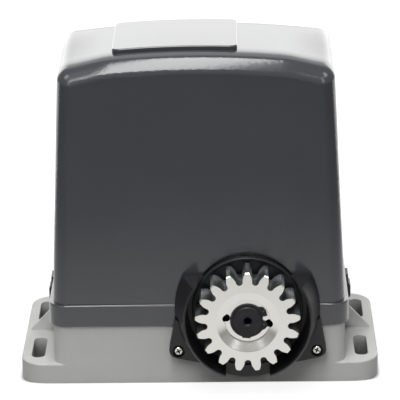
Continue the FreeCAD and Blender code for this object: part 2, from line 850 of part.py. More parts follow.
# ---------------------------------------------------------------- cover
def make_cover():
    """Moulded hood: skirt band, tapered crowned box, gear mouth with lip, rear notch."""
    body = new_body("cover_body")
    band = Profile(body, "band_outline", offset="band_bottom")
    band.rounded("-band_half_width", "band_half_width", "-band_front", "band_rear",
                 "band_corner")
    feature(body, "Pad", "band", band, "band_top - band_bottom")
    round_edges(body, "band_edge", "band_edge_fillet",
                lambda box: box.ZMin > value("band_top") - FLAT)
    low = Profile(body, "hood_low_outline", offset="band_top - hood_sink")
    low.rounded("-hood_half_width", "hood_half_width", "-hood_front", "hood_rear", "hood_corner")
    high = Profile(body, "hood_high_outline", offset="hood_loft_top")
    high.rounded("-hood_top_half_width", "hood_top_half_width", "-hood_top_front",
                 "hood_top_rear", "hood_corner")
    hood = body.newObject("PartDesign::AdditiveLoft", "hood")
    hood.Profile = low.sketch
    hood.Sections = [high.sketch]
    hood.Ruled = True
    body.Tip = hood
    crown = Profile(body, "crown_outline", "XZ_Plane")
    crown.crown("hood_half_width + clear_margin", "crown_height", "crown_radius",
                "hood_loft_top + clear_margin")
    feature(body, "Pocket", "crown", crown, through=True, symmetric=True)
    round_edges(body, "crown_edge", "crown_edge_fillet",
                lambda box: box.ZMin > value("crown_height - crown_edge_zone"))
    skirt = Profile(body, "skirt_inside_outline", offset="band_bottom")
    skirt.rounded("-band_half_width + skirt_side_wall", "band_half_width - skirt_side_wall",
                  "-band_front + skirt_front_wall", "band_rear - skirt_rear_wall", "skirt_corner")
    feature(body, "Pocket", "skirt_inside", skirt, "skirt_top - band_bottom", back=True)
    inner_low = Profile(body, "cavity_low_outline", offset="cavity_bottom")
    inner_low.rounded("-hood_half_width + cover_wall", "hood_half_width - cover_wall",
                      "-hood_front + cover_wall", "hood_rear - cover_wall",
                      "hood_corner - cover_wall")
    inner_high = Profile(body, "cavity_high_outline", offset="cavity_top")
    inner_high.rounded("-hood_top_half_width - taper_side + cover_wall",
                       "hood_top_half_width + taper_side - cover_wall",
                       "-hood_top_front - taper_front + cover_wall",
                       "hood_top_rear + taper_rear - cover_wall", "hood_corner - cover_wall")
    cavity = body.newObject("PartDesign::SubtractiveLoft", "cover_cavity")
    cavity.Profile = inner_low.sketch
    cavity.Sections = [inner_high.sketch]
    cavity.Ruled = True
    body.Tip = cavity
    collar = Profile(body, "collar_outline", "XZ_Plane", "collar_back")
    collar.circle("gear_axis_x", "gear_axis_z", "mouth_radius + lip_width")
    feature(body, "Pad", "collar", collar, "lip_front - collar_back")
    trims = (
        ("below_collar", "collar_back", "band_bottom", False),
        ("behind_skirt", "band_front - skirt_front_wall", "skirt_top", True),
        ("under_guard", "band_front + flush_gap", "gear_axis_z + guard_ear_height + part_gap",
         False),
    )
    for name, plane, high, inward in trims:
        trim = Profile(body, name + "_outline", "XZ_Plane", plane)
        trim.polygon([
            ("gear_axis_x - mouth_trim_half", "clear_margin"),
            ("gear_axis_x + mouth_trim_half", "clear_margin"),
            ("gear_axis_x + mouth_trim_half", high),
            ("gear_axis_x - mouth_trim_half", high),
        ])
        feature(body, "Pocket", name, trim, "short_cut", back=not inward)
    mouth = Profile(body, "mouth_outline", "XZ_Plane", "mouth_cut_start")
    mouth.circle("gear_axis_x", "gear_axis_z", "mouth_radius")
    feature(body, "Pocket", "mouth", mouth, "long_cut", back=True)
    rear_notch = Profile(body, "rear_notch_outline", "XZ_Plane", "-notch_start")
    rear_notch.circle("gear_axis_x", "gear_axis_z", "release_boss_radius + part_gap")
    feature(body, "Pocket", "rear_notch", rear_notch, "long_cut")
    rear_slot = Profile(body, "rear_slot_outline", "XZ_Plane", "-notch_start")
    rear_slot.polygon([
        ("gear_axis_x - release_boss_radius - part_gap", "clear_margin"),
        ("gear_axis_x + release_boss_radius + part_gap", "clear_margin"),
        ("gear_axis_x + release_boss_radius + part_gap", "gear_axis_z"),
        ("gear_axis_x - release_boss_radius - part_gap", "gear_axis_z"),
    ])
    feature(body, "Pocket", "rear_slot", rear_slot, "long_cut")
    sub_part(body, "cover")



make_cover()


def make_top_panel():
    """Raised pad that follows the crown of the hood."""
    body = new_body("top_panel_body")
    outline = Profile(body, "top_panel_outline", "XZ_Plane", "-pad_rear")
    outline.strip("pad_left", "pad_right", "crown_height - crown_radius", "crown_radius",
                  "crown_radius + pad_thick")
    feature(body, "Pad", "top_panel_slab", outline, "pad_rear + pad_front")
    round_edges(body, "top_panel_corners", "pad_corner",
                lambda box: box.XLength < 1 and box.YLength < 0.1)
    round_edges(body, "top_panel_edge", "pad_edge_fillet",
                lambda box: box.ZMin > value("crown_height - pad_edge_zone"))
    sub_part(body, "top_panel")



make_top_panel()


def make_side_clips():
    """Clip on each side that laps over the skirt band and bears on the base wall."""
    for side, sign in (("left", "-"), ("right", "")):
        body = new_body("side_clip_%s_body" % side)
        outline = Profile(body, "side_clip_%s_outline" % side, "XZ_Plane")
        points = [
            ("body_half_width", "clip_low"),
            ("band_half_width + clip_foot_reach", "clip_low"),
            ("band_half_width + clip_reach", "clip_foot_top"),
            ("band_half_width + clip_reach", "clip_knee"),
            ("band_half_width + clip_neck_reach", "clip_neck"),
            ("band_half_width + clip_neck_reach", "clip_top"),
            ("band_half_width", "clip_top"),
            ("band_half_width", "body_top"),
            ("body_half_width", "body_top"),
        ]
        outline.polygon([("%s(%s)" % (sign, x), z) for x, z in points])
        feature(body, "Pad", "side_clip_%s_pad" % side, outline, "2 * clip_half",
                symmetric=True)
        sub_part(body, "side_clip_%s" % side)


make_side_clips()


def make_cover_seal():
    """Rubber cord, moulded as a flat frame, between the base rim and the hood's inner step."""
    body = new_body("cover_seal_body")
    outline = Profile(body, "cover_seal_outline", offset="rim_top")
    outline.rounded("-body_half_width + rim_inset", "body_half_width - rim_inset",
                    "-flange_half_depth + rim_inset", "rim_rear",
                    "body_corner - rim_inset")
    feature(body, "Pad", "cover_seal_slab", outline, "seal_thick")
    window = Profile(body, "cover_seal_window", offset="rim_top")
    window.rounded("-body_half_width + wall_inset", "body_half_width - wall_inset",
                   "-flange_half_depth + wall_inset", "body_rear - wall_inset",
                   "cavity_corner")
    feature(body, "Pocket", "cover_seal_inside", window, "clear_margin", back=True)
    for name, y, radius in (("front", "seal_cut_front", "nose_radius + nose_gap"),
                            ("rear", "-bore_start", "release_boss_radius + flush_gap")):
        gap = Profile(body, "cover_seal_%s_gap" % name, "XZ_Plane", y)
        gap.circle("gear_axis_x", "gear_axis_z", radius)
        feature(body, "Pocket", "cover_seal_%s_cut" % name, gap, "long_cut", back=(name == "front"))
    sub_part(body, "cover_seal")


make_cover_seal()


# ---------------------------------------------------------------- pinion and output shaft
def make_pinion():
    """Rack pinion: involute teeth, dished face, hub with two puller holes and a keyway."""
    module = value("pinion_module")
    teeth = int(value("pinion_teeth"))
    body = new_body("pinion_body")
    blank = Profile(body, "pinion_blank", "XY_Plane")
    tip = "pinion_module * (pinion_teeth + 2) / 2"
    blank.polygon([
        ("shaft_radius", "-pinion_front + hub_depth"),
        ("hub_outer", "-pinion_front + hub_depth"),
        ("hub_outer", "-pinion_front + dish_fall"),
        ("dish_outer", "-pinion_front"),
        (tip + " - tip_chamfer", "-pinion_front"),
        (tip, "-pinion_front + tip_chamfer"),
        (tip, "-pinion_front + pinion_width - tip_chamfer"),
        (tip + " - tip_chamfer", "-pinion_front + pinion_width"),
        ("rear_hub_outer", "-pinion_front + pinion_width"),
        ("rear_hub_outer", "-rear_hub_back"),
        ("shaft_radius", "-rear_hub_back"),
    ])
    turn(body, "Revolution", "pinion_turned", blank)
    round_edges(body, "dish_edge", "dish_edge_fillet",
                lambda box: box.YMax < -value("pinion_front") + FLAT
                and abs(box.XLength - 2 * value("dish_outer")) < FLAT)
    root = module * (teeth / 2.0 - DEDENDUM)
    flank_start = root + value("root_round")
    outside = module * (teeth / 2.0 + 1.0) + value("sink_depth")
    backlash = value("pinion_backlash")
    middle = math.pi / 2.0 - math.pi / teeth
    half = math.pi / teeth
    space = Profile(body, "tooth_space", "XZ_Plane", "tooth_cut_back")
    sides = []
    for side in (1.0, -1.0):
        centre = middle - side * half
        points = flank_points(module, teeth, backlash, flank_start, outside, centre, side)
        curve = Part.BSplineCurve()
        curve.interpolate(points)
        space.sketch.addGeometry(curve)
        sides.append(points)
    bottom = FreeCAD.Vector(root * math.cos(middle), root * math.sin(middle), 0)
    space.sketch.addGeometry(Part.Arc(sides[0][0], bottom, sides[1][0]))
    space.sketch.addGeometry(Part.LineSegment(sides[1][-1], sides[0][-1]))
    first_space = feature(body, "Pocket", "first_space", space, "long_cut", back=True)
    spaces = body.newObject("PartDesign::PolarPattern", "tooth_spaces")
    spaces.Originals = [first_space]
    axis = [item for item in body.Origin.OriginFeatures if item.Role == "Y_Axis"][0]
    spaces.Axis = (axis, [""])
    spaces.Angle = 360.0
    bind(spaces, Occurrences="pinion_teeth")
    body.Tip = spaces
    holes = Profile(body, "puller_holes_outline", "XZ_Plane", "bore_cut_back")
    tilt = math.radians(value("puller_tilt"))
    for side in (1.0, -1.0):
        across = side * math.cos(tilt)
        up = -side * math.sin(tilt)
        holes.circle("puller_radius * %.6f" % across, "puller_radius * %.6f" % up, "puller_hole")
    feature(body, "Pocket", "puller_holes", holes, "long_cut", back=True)
    keyway = Profile(body, "pinion_keyway_outline", "XZ_Plane", "bore_cut_back")
    keyway.turned_rectangle("key_width / 2", "key_low", "key_high + key_gap", "key_angle")
    feature(body, "Pocket", "pinion_keyway", keyway, "long_cut", back=True)
    place(body, "gear_axis_x", "0", "gear_axis_z")
    sub_part(body, "pinion")



make_pinion()


def make_output_shaft():
    """Output shaft: pinion seat with circlip groove and tapped end, collar, hollow rear."""
    body = new_body("output_shaft_body")
    section = Profile(body, "output_shaft_section", "XY_Plane")
    section.polygon([
        ("0", "-shaft_front + end_tap_depth"),
        ("end_tap_radius", "-shaft_front + end_tap_depth - end_tap_cone"),
        ("end_tap_radius", "-shaft_front + centre_chamfer"),
        ("end_tap_radius + centre_chamfer", "-shaft_front"),
        ("shaft_radius - end_chamfer", "-shaft_front"),
        ("shaft_radius", "-shaft_front + end_chamfer"),
        ("shaft_radius", "-pinion_front + hub_depth - circlip_thick - groove_gap"),
        ("circlip_inner", "-pinion_front + hub_depth - circlip_thick - groove_gap"),
        ("circlip_inner", "-pinion_front + hub_depth"),
        ("shaft_radius", "-pinion_front + hub_depth"),
        ("shaft_radius", "-rear_hub_back"),
        ("front_journal - running_gap", "-rear_hub_back"),
        ("front_journal - running_gap", "-case_cavity_front"),
        ("collar_radius", "-case_cavity_front + collar_gap"),
        ("collar_radius", "wheel_middle_y - wheel_half_width"),
        ("wheel_bore", "wheel_middle_y - wheel_half_width"),
        ("wheel_bore", "wheel_middle_y + wheel_half_width + wheel_seat_reach"),
        ("rear_journal - running_gap", "wheel_middle_y + wheel_half_width + wheel_seat_reach"),
        ("rear_journal - running_gap", "shaft_rear"),
        ("rod_radius + rod_bore_gap", "shaft_rear"),
        ("rod_radius + rod_bore_gap", "rod_front - rod_travel - rod_bore_room"),
        ("0", "rod_front - rod_travel - 2 * rod_bore_room"),
    ])
    turn(body, "Revolution", "output_shaft_turned", section)
    for name, front, length, inner in (
            ("pinion_key_slot", "pinion_front - hub_depth", "key_slot_length", "key_low"),
            ("wheel_key_slot", "-wheel_middle_y + wheel_half_width", "2 * wheel_half_width",
             "wheel_key_low")):
        slot = Profile(body, name + "_outline", "XZ_Plane", front)
        slot.turned_rectangle("key_width / 2", inner, "key_slot_top", "key_angle")
        feature(body, "Pocket", name, slot, length)
    place(body, "gear_axis_x", "0", "gear_axis_z")
    sub_part(body, "output_shaft")


def make_key(label, front, length, inner, outer):
    """Parallel key lying in the shaft along its axis."""
    body = new_body(label + "_body")
    section = Profile(body, label + "_section", "XZ_Plane", front)
    section.turned_rectangle("key_width / 2", inner, outer, "key_angle")
    feature(body, "Pad", label + "_bar", section, length, back=True)
    round_edges(body, label + "_edges", "key_chamfer", lambda box: box.YLength > 1, "Chamfer")
    place(body, "gear_axis_x", "0", "gear_axis_z")
    sub_part(body, label)


CIRCLIP_LUGS = {
    "upper": [("8.6", "6.4"), ("11.2", "3.3"), ("14.1", "3.8"), ("13.1", "7.4"), ("11.2", "10"),
              ("6.9", "10.2")],
    "lower": [("10.9", "-0.6"), ("12.6", "-0.6"), ("14.2", "-1.8"), ("14.1", "-4.4"),
              ("12.9", "-6"), ("9.6", "-7.8"), ("8.4", "-7.2")],
}
CIRCLIP_GAP = [("9", "-0.5"), ("15", "-0.5"), ("15", "3.9"), ("9", "2.9")]
CIRCLIP_EYES = [("11.5", "6.7"), ("11.7", "-3.3")]


def make_circlip():
    """External circlip in the shaft's groove, with two eyed lugs at the right."""
    body = new_body("circlip_body")
    back = "pinion_front - hub_depth"
    ring = Profile(body, "circlip_ring_outline", "XZ_Plane", back)
    ring.circle("0", "0", "circlip_outer")
    ring.circle("0", "0", "circlip_inner")
    feature(body, "Pad", "circlip_ring", ring, "circlip_thick")
    for name, corners in CIRCLIP_LUGS.items():
        lug = Profile(body, name + "_lug_outline", "XZ_Plane", back)
        feature(body, "Pad", name + "_lug", lug.polygon(corners), "circlip_thick")
    opening = Profile(body, "circlip_gap_outline", "XZ_Plane", back)
    opening.polygon(CIRCLIP_GAP)
    feature(body, "Pocket", "circlip_gap", opening, "4 * circlip_thick", symmetric=True)
    eyes = Profile(body, "circlip_eye_outline", "XZ_Plane", back)
    for x, z in CIRCLIP_EYES:
        eyes.circle(x, z, "circlip_eye")
    feature(body, "Pocket", "circlip_eyes", eyes, "4 * circlip_thick", symmetric=True)
    place(body, "gear_axis_x", "0", "gear_axis_z")
    sub_part(body, "circlip")


make_output_shaft()
make_key("shaft_key", "pinion_front - hub_depth", "key_length", "key_low", "key_high")
make_key("wheel_key", "-wheel_middle_y + wheel_half_width - 0.5", "2 * wheel_half_width - 1",
         "wheel_key_low", "wheel_key_high")
make_circlip()


# ---------------------------------------------------------------- worm wheel and rotor
def make_worm_wheel():
    """Bronze worm wheel: slanted teeth for the worm's lead, recessed web, keyed bore."""
    module = value("worm_module")
    teeth = int(value("wheel_teeth"))
    pitch = module * teeth / 2.0
    root = pitch - DEDENDUM * module
    tip = pitch + module
    half_width = value("wheel_half_width")
    backlash = value("worm_backlash")
    lead_slope = module / (2.0 * value("worm_pitch_radius"))
    outline = []
    spans = []
    for tooth in range(teeth):
        middle = 2.0 * math.pi * (tooth + 0.5) / teeth
        rise = flank_points(module, teeth, backlash, root, tip, middle, -1.0)
        fall = flank_points(module, teeth, backlash, root, tip, middle, 1.0)
        spans.append((rise, list(reversed(fall))))
    for index, (rise, fall) in enumerate(spans):
        for points in (rise, fall):
            curve = Part.BSplineCurve()
            curve.interpolate([points[0], points[2], points[4]])
            outline.append(curve.toShape())
        outline.insert(-1, Part.makeLine(rise[-1], fall[0]))
        outline.append(Part.makeLine(fall[-1], spans[(index + 1) % teeth][0][0]))
    sections = []
    for side in (-1.0, 1.0):
        section = Part.Wire(outline)
        section.rotate(FreeCAD.Vector(), X_AXIS, 90.0)
        slant = math.degrees(lead_slope * half_width * side / pitch)
        section.rotate(FreeCAD.Vector(), Y_AXIS, slant)
        section.translate(FreeCAD.Vector(0, side * half_width, 0))
        sections.append(section)
    wheel = Part.makeLoft(sections, True, True)
    bore = Part.makeCylinder(value("wheel_bore"), 4.0 * half_width,
                             FreeCAD.Vector(0, -2.0 * half_width, 0), Y_AXIS)
    key_angle = math.radians(value("key_angle"))
    slot = Part.makeBox(value("key_width"), 4.0 * half_width,
                        value("wheel_key_high + key_gap - wheel_key_low"))
    slot.translate(FreeCAD.Vector(value("-key_width / 2"), -2.0 * half_width,
                                  value("wheel_key_low")))
    slot.rotate(FreeCAD.Vector(), Y_AXIS, math.degrees(key_angle))
    tools = [bore, slot]
    for side in (-1.0, 1.0):
        start = FreeCAD.Vector(0, side * (half_width - value("web_recess")), 0)
        ring = Part.makeCylinder(value("web_outer"), half_width, start, side * Y_AXIS)
        core = Part.makeCylinder(value("web_inner"), half_width, start, side * Y_AXIS)
        tools.append(ring.cut(core))
    holder = doc.addObject("Part::Feature", "worm_wheel_shape")
    holder.Shape = wheel.cut(tools)
    place(holder, "gear_axis_x", "wheel_middle_y", "gear_axis_z")
    sub_part(holder, "worm_wheel")


def make_rotor_shaft():
    """Motor shaft with the worm cut on it: a trapezoid thread along a right-handed helix."""
    module = value("worm_module")
    pitch = math.pi * module
    root = value("worm_root")
    tip = value("worm_tip")
    middle_radius = value("worm_pitch_radius")
    half = pitch / 4.0 - value("worm_backlash") / 4.0
    slope = math.tan(PRESSURE_ANGLE)
    turns = value("worm_turns")
    start = value("gear_axis_z") - turns / 2.0 * pitch
    sink = value("thread_sink")
    helix = Part.makeHelix(pitch, turns * pitch, middle_radius)
    low = half + (middle_radius - root + sink) * slope
    high = half - (tip - middle_radius) * slope
    corners = [
        FreeCAD.Vector(root - sink, 0, -low),
        FreeCAD.Vector(tip, 0, -high),
        FreeCAD.Vector(tip, 0, high),
        FreeCAD.Vector(root - sink, 0, low),
    ]
    section = Part.makePolygon(corners + corners[:1])
    thread = Part.Wire(helix.Edges).makePipeShell([section], True, True)
    thread.translate(FreeCAD.Vector(0, 0, start))
    journal = value("worm_journal - running_gap")
    bearing = value("motor_shaft_radius - running_gap")
    core = value("motor_shaft_radius")
    half_section = [
        (0, value("rotor_low")), (journal, value("rotor_low")), (journal, value("worm_low")),
        (root, value("worm_low")), (root, value("worm_high")), (bearing, value("worm_high")),
        (bearing, value("motor_shaft_low")), (core, value("motor_shaft_low")),
        (core, value("motor_shaft_high")), (journal, value("motor_shaft_high")),
        (journal, value("rotor_high")), (0, value("rotor_high")),
    ]
    points = [FreeCAD.Vector(radius, 0, height) for radius, height in half_section]
    shaft = Part.Face(Part.makePolygon(points + points[:1])).revolve(FreeCAD.Vector(), Z_AXIS, 360)
    holder = doc.addObject("Part::Feature", "rotor_shaft_shape")
    holder.Shape = shaft.fuse(thread)
    place(holder, "gear_axis_x - worm_centre_distance", "wheel_middle_y", "0")
    sub_part(holder, "rotor_shaft")


make_worm_wheel()
make_rotor_shaft()

MOTOR = {"x": "gear_axis_x - worm_centre_distance", "y": "wheel_middle_y"}
turned_part("rotor_core", [
    ("motor_shaft_radius", "stator_low - rotor_ring_reach"),
    ("rotor_radius - rotor_ring_step", "stator_low - rotor_ring_reach"),
    ("rotor_radius - rotor_ring_step", "stator_low"),
    ("rotor_radius", "stator_low"),
    ("rotor_radius", "stator_high"),
    ("rotor_radius - rotor_ring_step", "stator_high"),
    ("rotor_radius - rotor_ring_step", "stator_high + rotor_ring_reach"),
    ("motor_shaft_radius", "stator_high + rotor_ring_reach"),
], upright=True, **MOTOR)


def ring_points(inner, outer, low, high):
    """Half section of a bearing, with a shallow shield recess on both faces."""
    inner_land = "%s + (%s - (%s)) * %g" % (inner, outer, inner, INNER_LAND)
    outer_land = "%s - (%s - (%s)) * %g" % (outer, outer, inner, OUTER_LAND)
    return [
        (inner, low), (inner_land, low), (inner_land, "%s + shield_recess" % low),
        (outer_land, "%s + shield_recess" % low), (outer_land, low), (outer, low),
        (outer, high), (outer_land, high), (outer_land, "%s - shield_recess" % high),
        (inner_land, "%s - shield_recess" % high), (inner_land, high), (inner, high),
    ]


for label, inner, outer, low, high in (
        ("output_bearing_front", "front_journal", "front_seat_radius - seat_gap",
         "-front_seat_front", "-case_cavity_front"),
        ("output_bearing_rear", "rear_journal", "cover_seat_radius - seat_gap", "-rear_bearing_front",
         "cover_seat_rear")):
    turned_part(label, ring_points(inner, outer, low, high), x="gear_axis_x", z="gear_axis_z")
for label, inner, outer, low, high in (
        ("worm_bearing_lower", "worm_journal", "lower_seat_radius - seat_gap", "lower_seat_low",
         "lower_seat_low + small_bearing"),
        ("worm_bearing_upper", "motor_shaft_radius", "upper_seat_radius - seat_gap",
         "upper_seat_low", "upper_seat_low + small_bearing"),
        ("motor_bearing_top", "worm_journal", "shield_seat - seat_gap",
         "shield_seat_top - small_bearing", "shield_seat_top")):
    turned_part(label, ring_points(inner, outer, low, high), upright=True, **MOTOR)

turned_part("shaft_seal", [
    ("front_journal + flush_gap", "-seal_front"),
    ("seal_seat_radius - seat_gap", "-seal_front"),
    ("seal_seat_radius - seat_gap", "-seal_rear"),
    ("seal_seat_radius - seal_wall", "-seal_rear"),
    ("seal_seat_radius - seal_wall", "-seal_front + seal_face"),
    ("seal_lip_root", "-seal_front + seal_face"),
    ("seal_lip_root - part_gap", "-seal_rear - seal_wall"),
    ("front_journal + flush_gap", "-seal_rear - seal_face"),
], x="gear_axis_x", z="gear_axis_z")


# ---------------------------------------------------------------- pinion guard
def make_guard():
    """Moulded guard: conical wall open above, back plate, two screw tabs, notch below."""
    body = new_body("pinion_guard_body")
    wall = Profile(body, "guard_wall_section", "XY_Plane")
    wall.polygon([
        ("guard_bore", "-guard_back"),
        ("guard_back_outer", "-guard_back"),
        ("guard_back_outer", "-guard_back - guard_rear_land"),
        ("guard_front_outer + 0.6", "-guard_front + guard_rim_chamfer"),
        ("guard_front_outer - 0.4", "-guard_front"),
        ("guard_front_inner + guard_rim_bevel", "-guard_front"),
        ("guard_front_inner", "-guard_front + guard_rim_bevel"),
        ("guard_back_inner", "-guard_back - guard_plate_thick"),
        ("guard_bore", "-guard_back - guard_plate_thick"),
    ])
    turn(body, "Revolution", "guard_wall", wall)
    tabs = Profile(body, "guard_tab_outline", "XZ_Plane", "guard_back")
    for sign in ("-", ""):
        points = [
            ("40", "-20"),
            ("52.6", "-5"),
            ("guard_tab_half", "guard_tab_low"),
            ("34", "guard_tab_low - 5.3"),
        ]
        tabs.polygon([("%s(%s)" % (sign, x), z) for x, z in points])
    feature(body, "Pad", "guard_tabs", tabs, "guard_tab_front - guard_back")
    round_edges(body, "guard_tab_corners", "guard_tab_corner",
                lambda box: box.XLength < FLAT and box.ZLength < FLAT
                and abs(box.ZMin - value("guard_tab_low")) < FLAT)
    inside = Profile(body, "guard_inside_outline", "XZ_Plane", "guard_back + guard_plate_thick")
    inside.circle("0", "0", "guard_back_inner")
    feature(body, "Pocket", "guard_inside", inside, "long_cut", back=True)
    above = Profile(body, "guard_above_outline", "XZ_Plane", "guard_back - clear_margin")
    above.polygon([
        ("-long_cut", "guard_ear_height"), ("long_cut", "guard_ear_height"),
        ("long_cut", "long_cut"), ("-long_cut", "long_cut"),
    ])
    feature(body, "Pocket", "guard_above", above, "long_cut", back=True)
    plate = Profile(body, "guard_plate_outline", "XZ_Plane", "guard_back")
    plate.circle("0", "0", "guard_plate_radius")
    plate.circle("0", "0", "guard_bore")
    feature(body, "Pad", "guard_plate", plate, "guard_plate_thick")
    bead = Profile(body, "guard_bead_section", "XY_Plane")
    bead.polygon([
        ("guard_bead_inner", "-guard_back - sink_depth"),
        ("guard_plate_radius", "-guard_back - sink_depth"),
        ("guard_plate_radius", "-guard_bead_front"),
        ("guard_bead_inner", "-guard_bead_front"),
    ])
    turn(body, "Revolution", "guard_bead", bead)
    round_edges(body, "guard_bead_edge", "guard_bead_fillet",
                lambda box: abs(box.YMax + value("guard_bead_front")) < FLAT
                and box.XLength > value("guard_bead_inner"))
    notch = Profile(body, "guard_notch_outline", "XZ_Plane", "guard_bead_front")
    notch.polygon([
        ("-guard_notch_half", "-long_cut"), ("guard_notch_half", "-long_cut"),
        ("guard_notch_half", "-guard_notch_top"), ("-guard_notch_half", "-guard_notch_top"),
    ])
    feature(body, "Pocket", "guard_notch", notch, "long_cut", back=True)
    bosses = Profile(body, "guard_rear_boss_outline", "XZ_Plane", "guard_back")
    holes = Profile(body, "guard_screw_hole_outline", "XZ_Plane", "bore_cut_back")
    seats = Profile(body, "guard_screw_seat_outline", "XZ_Plane", "guard_screw_seat")
    for sign in ("-", ""):
        bosses.circle(sign + "guard_screw_x", "guard_screw_z", "guard_boss_radius")
        holes.circle(sign + "guard_screw_x", "guard_screw_z", "screw_small")
        seats.circle(sign + "guard_screw_x", "guard_screw_z", "counterbore_radius")
    feature(body, "Pad", "guard_rear_bosses", bosses, "guard_back - flange_half_depth", back=True)
    feature(body, "Pocket", "guard_screw_holes", holes, "long_cut", back=True)
    feature(body, "Pocket", "guard_screw_seats", seats, "short_cut", back=True)
    place(body, "gear_axis_x", "0", "gear_axis_z")
    sub_part(body, "pinion_guard")


make_guard()
group("guard_screws", [
    screw("screw_small", "screw_small_head", "small_head_height", "guard_screw_seat - 62",
          "gear_axis_x %s guard_screw_x" % side, "-guard_screw_seat",
          "gear_axis_z + guard_screw_z", -Y_AXIS)
    for side in ("-", "+")])


# ---------------------------------------------------------------- gearbox
def make_gear_case():
    """Gearbox casting: drum round the wheel, nose, worm column, motor flange and foot."""
    body = new_body("gear_case_body")
    drum = Profile(body, "gear_case_section", "XY_Plane")
    drum.polygon([
        ("0", "-nose_front"), ("nose_radius", "-nose_front"), ("nose_radius", "-case_front"),
        ("case_radius", "-case_front"), ("case_radius", "-case_rear"), ("0", "-case_rear"),
    ])
    turn(body, "Revolution", "drum", drum)
    worm_x = "-worm_centre_distance"
    foot = Profile(body, "foot_outline", offset="floor_thick - gear_axis_z")
    foot.rounded("foot_left - gear_axis_x", "foot_right - gear_axis_x", "-case_front",
                 "-case_rear", "foot_corner")
    feature(body, "Pad", "foot", foot, "foot_thick")
    column = Profile(body, "column_outline", offset="floor_thick - gear_axis_z + column_sink")
    column.circle(worm_x, "wheel_middle_y", "column_radius")
    feature(body, "Pad", "column", column, "motor_flange_low - floor_thick")
    flange = Profile(body, "motor_flange_outline", offset="motor_flange_low - gear_axis_z")
    flange.circle(worm_x, "wheel_middle_y", "motor_radius")
    feature(body, "Pad", "motor_flange", flange, "stator_low - motor_flange_low")
    cavity = Profile(body, "case_cavity_section", "XY_Plane")
    cavity.polygon([
        ("0", "-nose_front - sink_depth"), ("seal_seat_radius", "-nose_front - sink_depth"),
        ("seal_seat_radius", "-seal_seat_back"), ("nose_bore", "-seal_seat_back"),
        ("nose_bore", "-front_seat_front"), ("front_seat_radius", "-front_seat_front"),
        ("front_seat_radius", "-case_cavity_front"), ("case_cavity", "-case_cavity_front"),
        ("case_cavity", "-case_rear + sink_depth"), ("0", "-case_rear + sink_depth"),
    ])
    turn(body, "Groove", "case_cavity", cavity)
    cup = Profile(body, "flange_cup_outline", offset="motor_flange_top - gear_axis_z")
    cup.circle(worm_x, "wheel_middle_y", "motor_rim_inner")
    feature(body, "Pocket", "flange_cup", cup, "short_cut", back=True)
    for name, low, radius, length in (
            ("lower_seat", "lower_seat_low", "lower_seat_radius", "lower_seat_length"),
            ("worm_bore", "worm_bore_low", "column_bore", "worm_bore_length"),
            ("upper_seat", "upper_seat_low", "upper_seat_radius", "upper_seat_length")):
        hole = Profile(body, name + "_outline", offset="%s - gear_axis_z" % low)
        hole.circle(worm_x, "wheel_middle_y", radius)
        feature(body, "Pocket", name, hole, length, back=True)
    foot_holes = Profile(body, "foot_hole_outline", offset="floor_thick - gear_axis_z")
    for x, y in CASE_SCREWS:
        foot_holes.circle("%s - gear_axis_x" % x, y, "screw_large")
    feature(body, "Pocket", "foot_holes", foot_holes, "foot_thick", back=True)
    plate_holes = Profile(body, "plate_hole_outline", "XZ_Plane", "case_rear + plate_hole_room")
    motor_holes = Profile(body, "motor_hole_outline", offset="motor_hole_low - gear_axis_z")
    for angle in PLATE_ANGLES:
        plate_holes.circle("plate_screw_ring * cos(%s)" % angle,
                           "plate_screw_ring * sin(%s)" % angle, "screw_small")
    for angle in MOTOR_BOLT_ANGLES:
        motor_holes.circle("-worm_centre_distance + motor_bolt_ring * cos(%s)" % angle,
                           "wheel_middle_y + motor_bolt_ring * sin(%s)" % angle,
                           "motor_bolt_radius")
    feature(body, "Pocket", "plate_holes", plate_holes, "short_cut")
    feature(body, "Pocket", "motor_holes", motor_holes, "short_cut", back=True)
    place(body, "gear_axis_x", "0", "gear_axis_z")
    sub_part(body, "gear_case")


PLATE_ANGLES = ("0", "50", "98", "145", "215", "262", "310")
MOTOR_BOLT_ANGLES = ("45", "135", "225", "315")
make_gear_case()


def make_gear_case_cover():
    """Rear plate of the gearbox with its spigot, bearing boss and rod hole."""
    body = new_body("gear_case_cover_body")
    section = Profile(body, "gear_case_cover_section", "XY_Plane")
    section.polygon([
        ("rod_radius + rod_hole_gap", "cover_hub_rear"),
        ("cover_hub_radius", "cover_hub_rear"),
        ("cover_hub_radius", "cover_plate_rear"),
        ("case_radius", "cover_plate_rear"),
        ("case_radius", "-case_rear"),
        ("case_cavity - spigot_gap", "-case_rear"),
        ("case_cavity - spigot_gap", "-case_rear - spigot_depth"),
        ("cover_seat_radius", "-case_rear - spigot_depth"),
        ("cover_seat_radius", "cover_seat_rear"),
        ("rod_radius + rod_hole_gap", "cover_seat_rear"),
    ])
    turn(body, "Revolution", "gear_case_cover_turned", section)
    holes = Profile(body, "cover_plate_hole_outline", "XZ_Plane", "case_rear + clear_margin")
    for angle in PLATE_ANGLES:
        holes.circle("plate_screw_ring * cos(%s)" % angle,
                     "plate_screw_ring * sin(%s)" % angle, "screw_small")
    feature(body, "Pocket", "cover_plate_holes", holes, "short_cut")
    place(body, "gear_axis_x", "0", "gear_axis_z")
    sub_part(body, "gear_case_cover")


make_gear_case_cover()
group("gear_case_screws", [
    screw("screw_large", "screw_large_head", "large_head_height", "foot_thick + large_grip", x, y,
          "floor_thick + foot_thick", Z_AXIS) for x, y in CASE_SCREWS])
group("case_cover_screws", [
    screw("screw_small", "screw_small_head", "small_head_height", "case_rear + plate_screw_grip",
          "gear_axis_x + plate_screw_ring * cos(%s)" % angle, "cover_plate_rear",
          "gear_axis_z + plate_screw_ring * sin(%s)" % angle, Y_AXIS)
    for angle in PLATE_ANGLES])


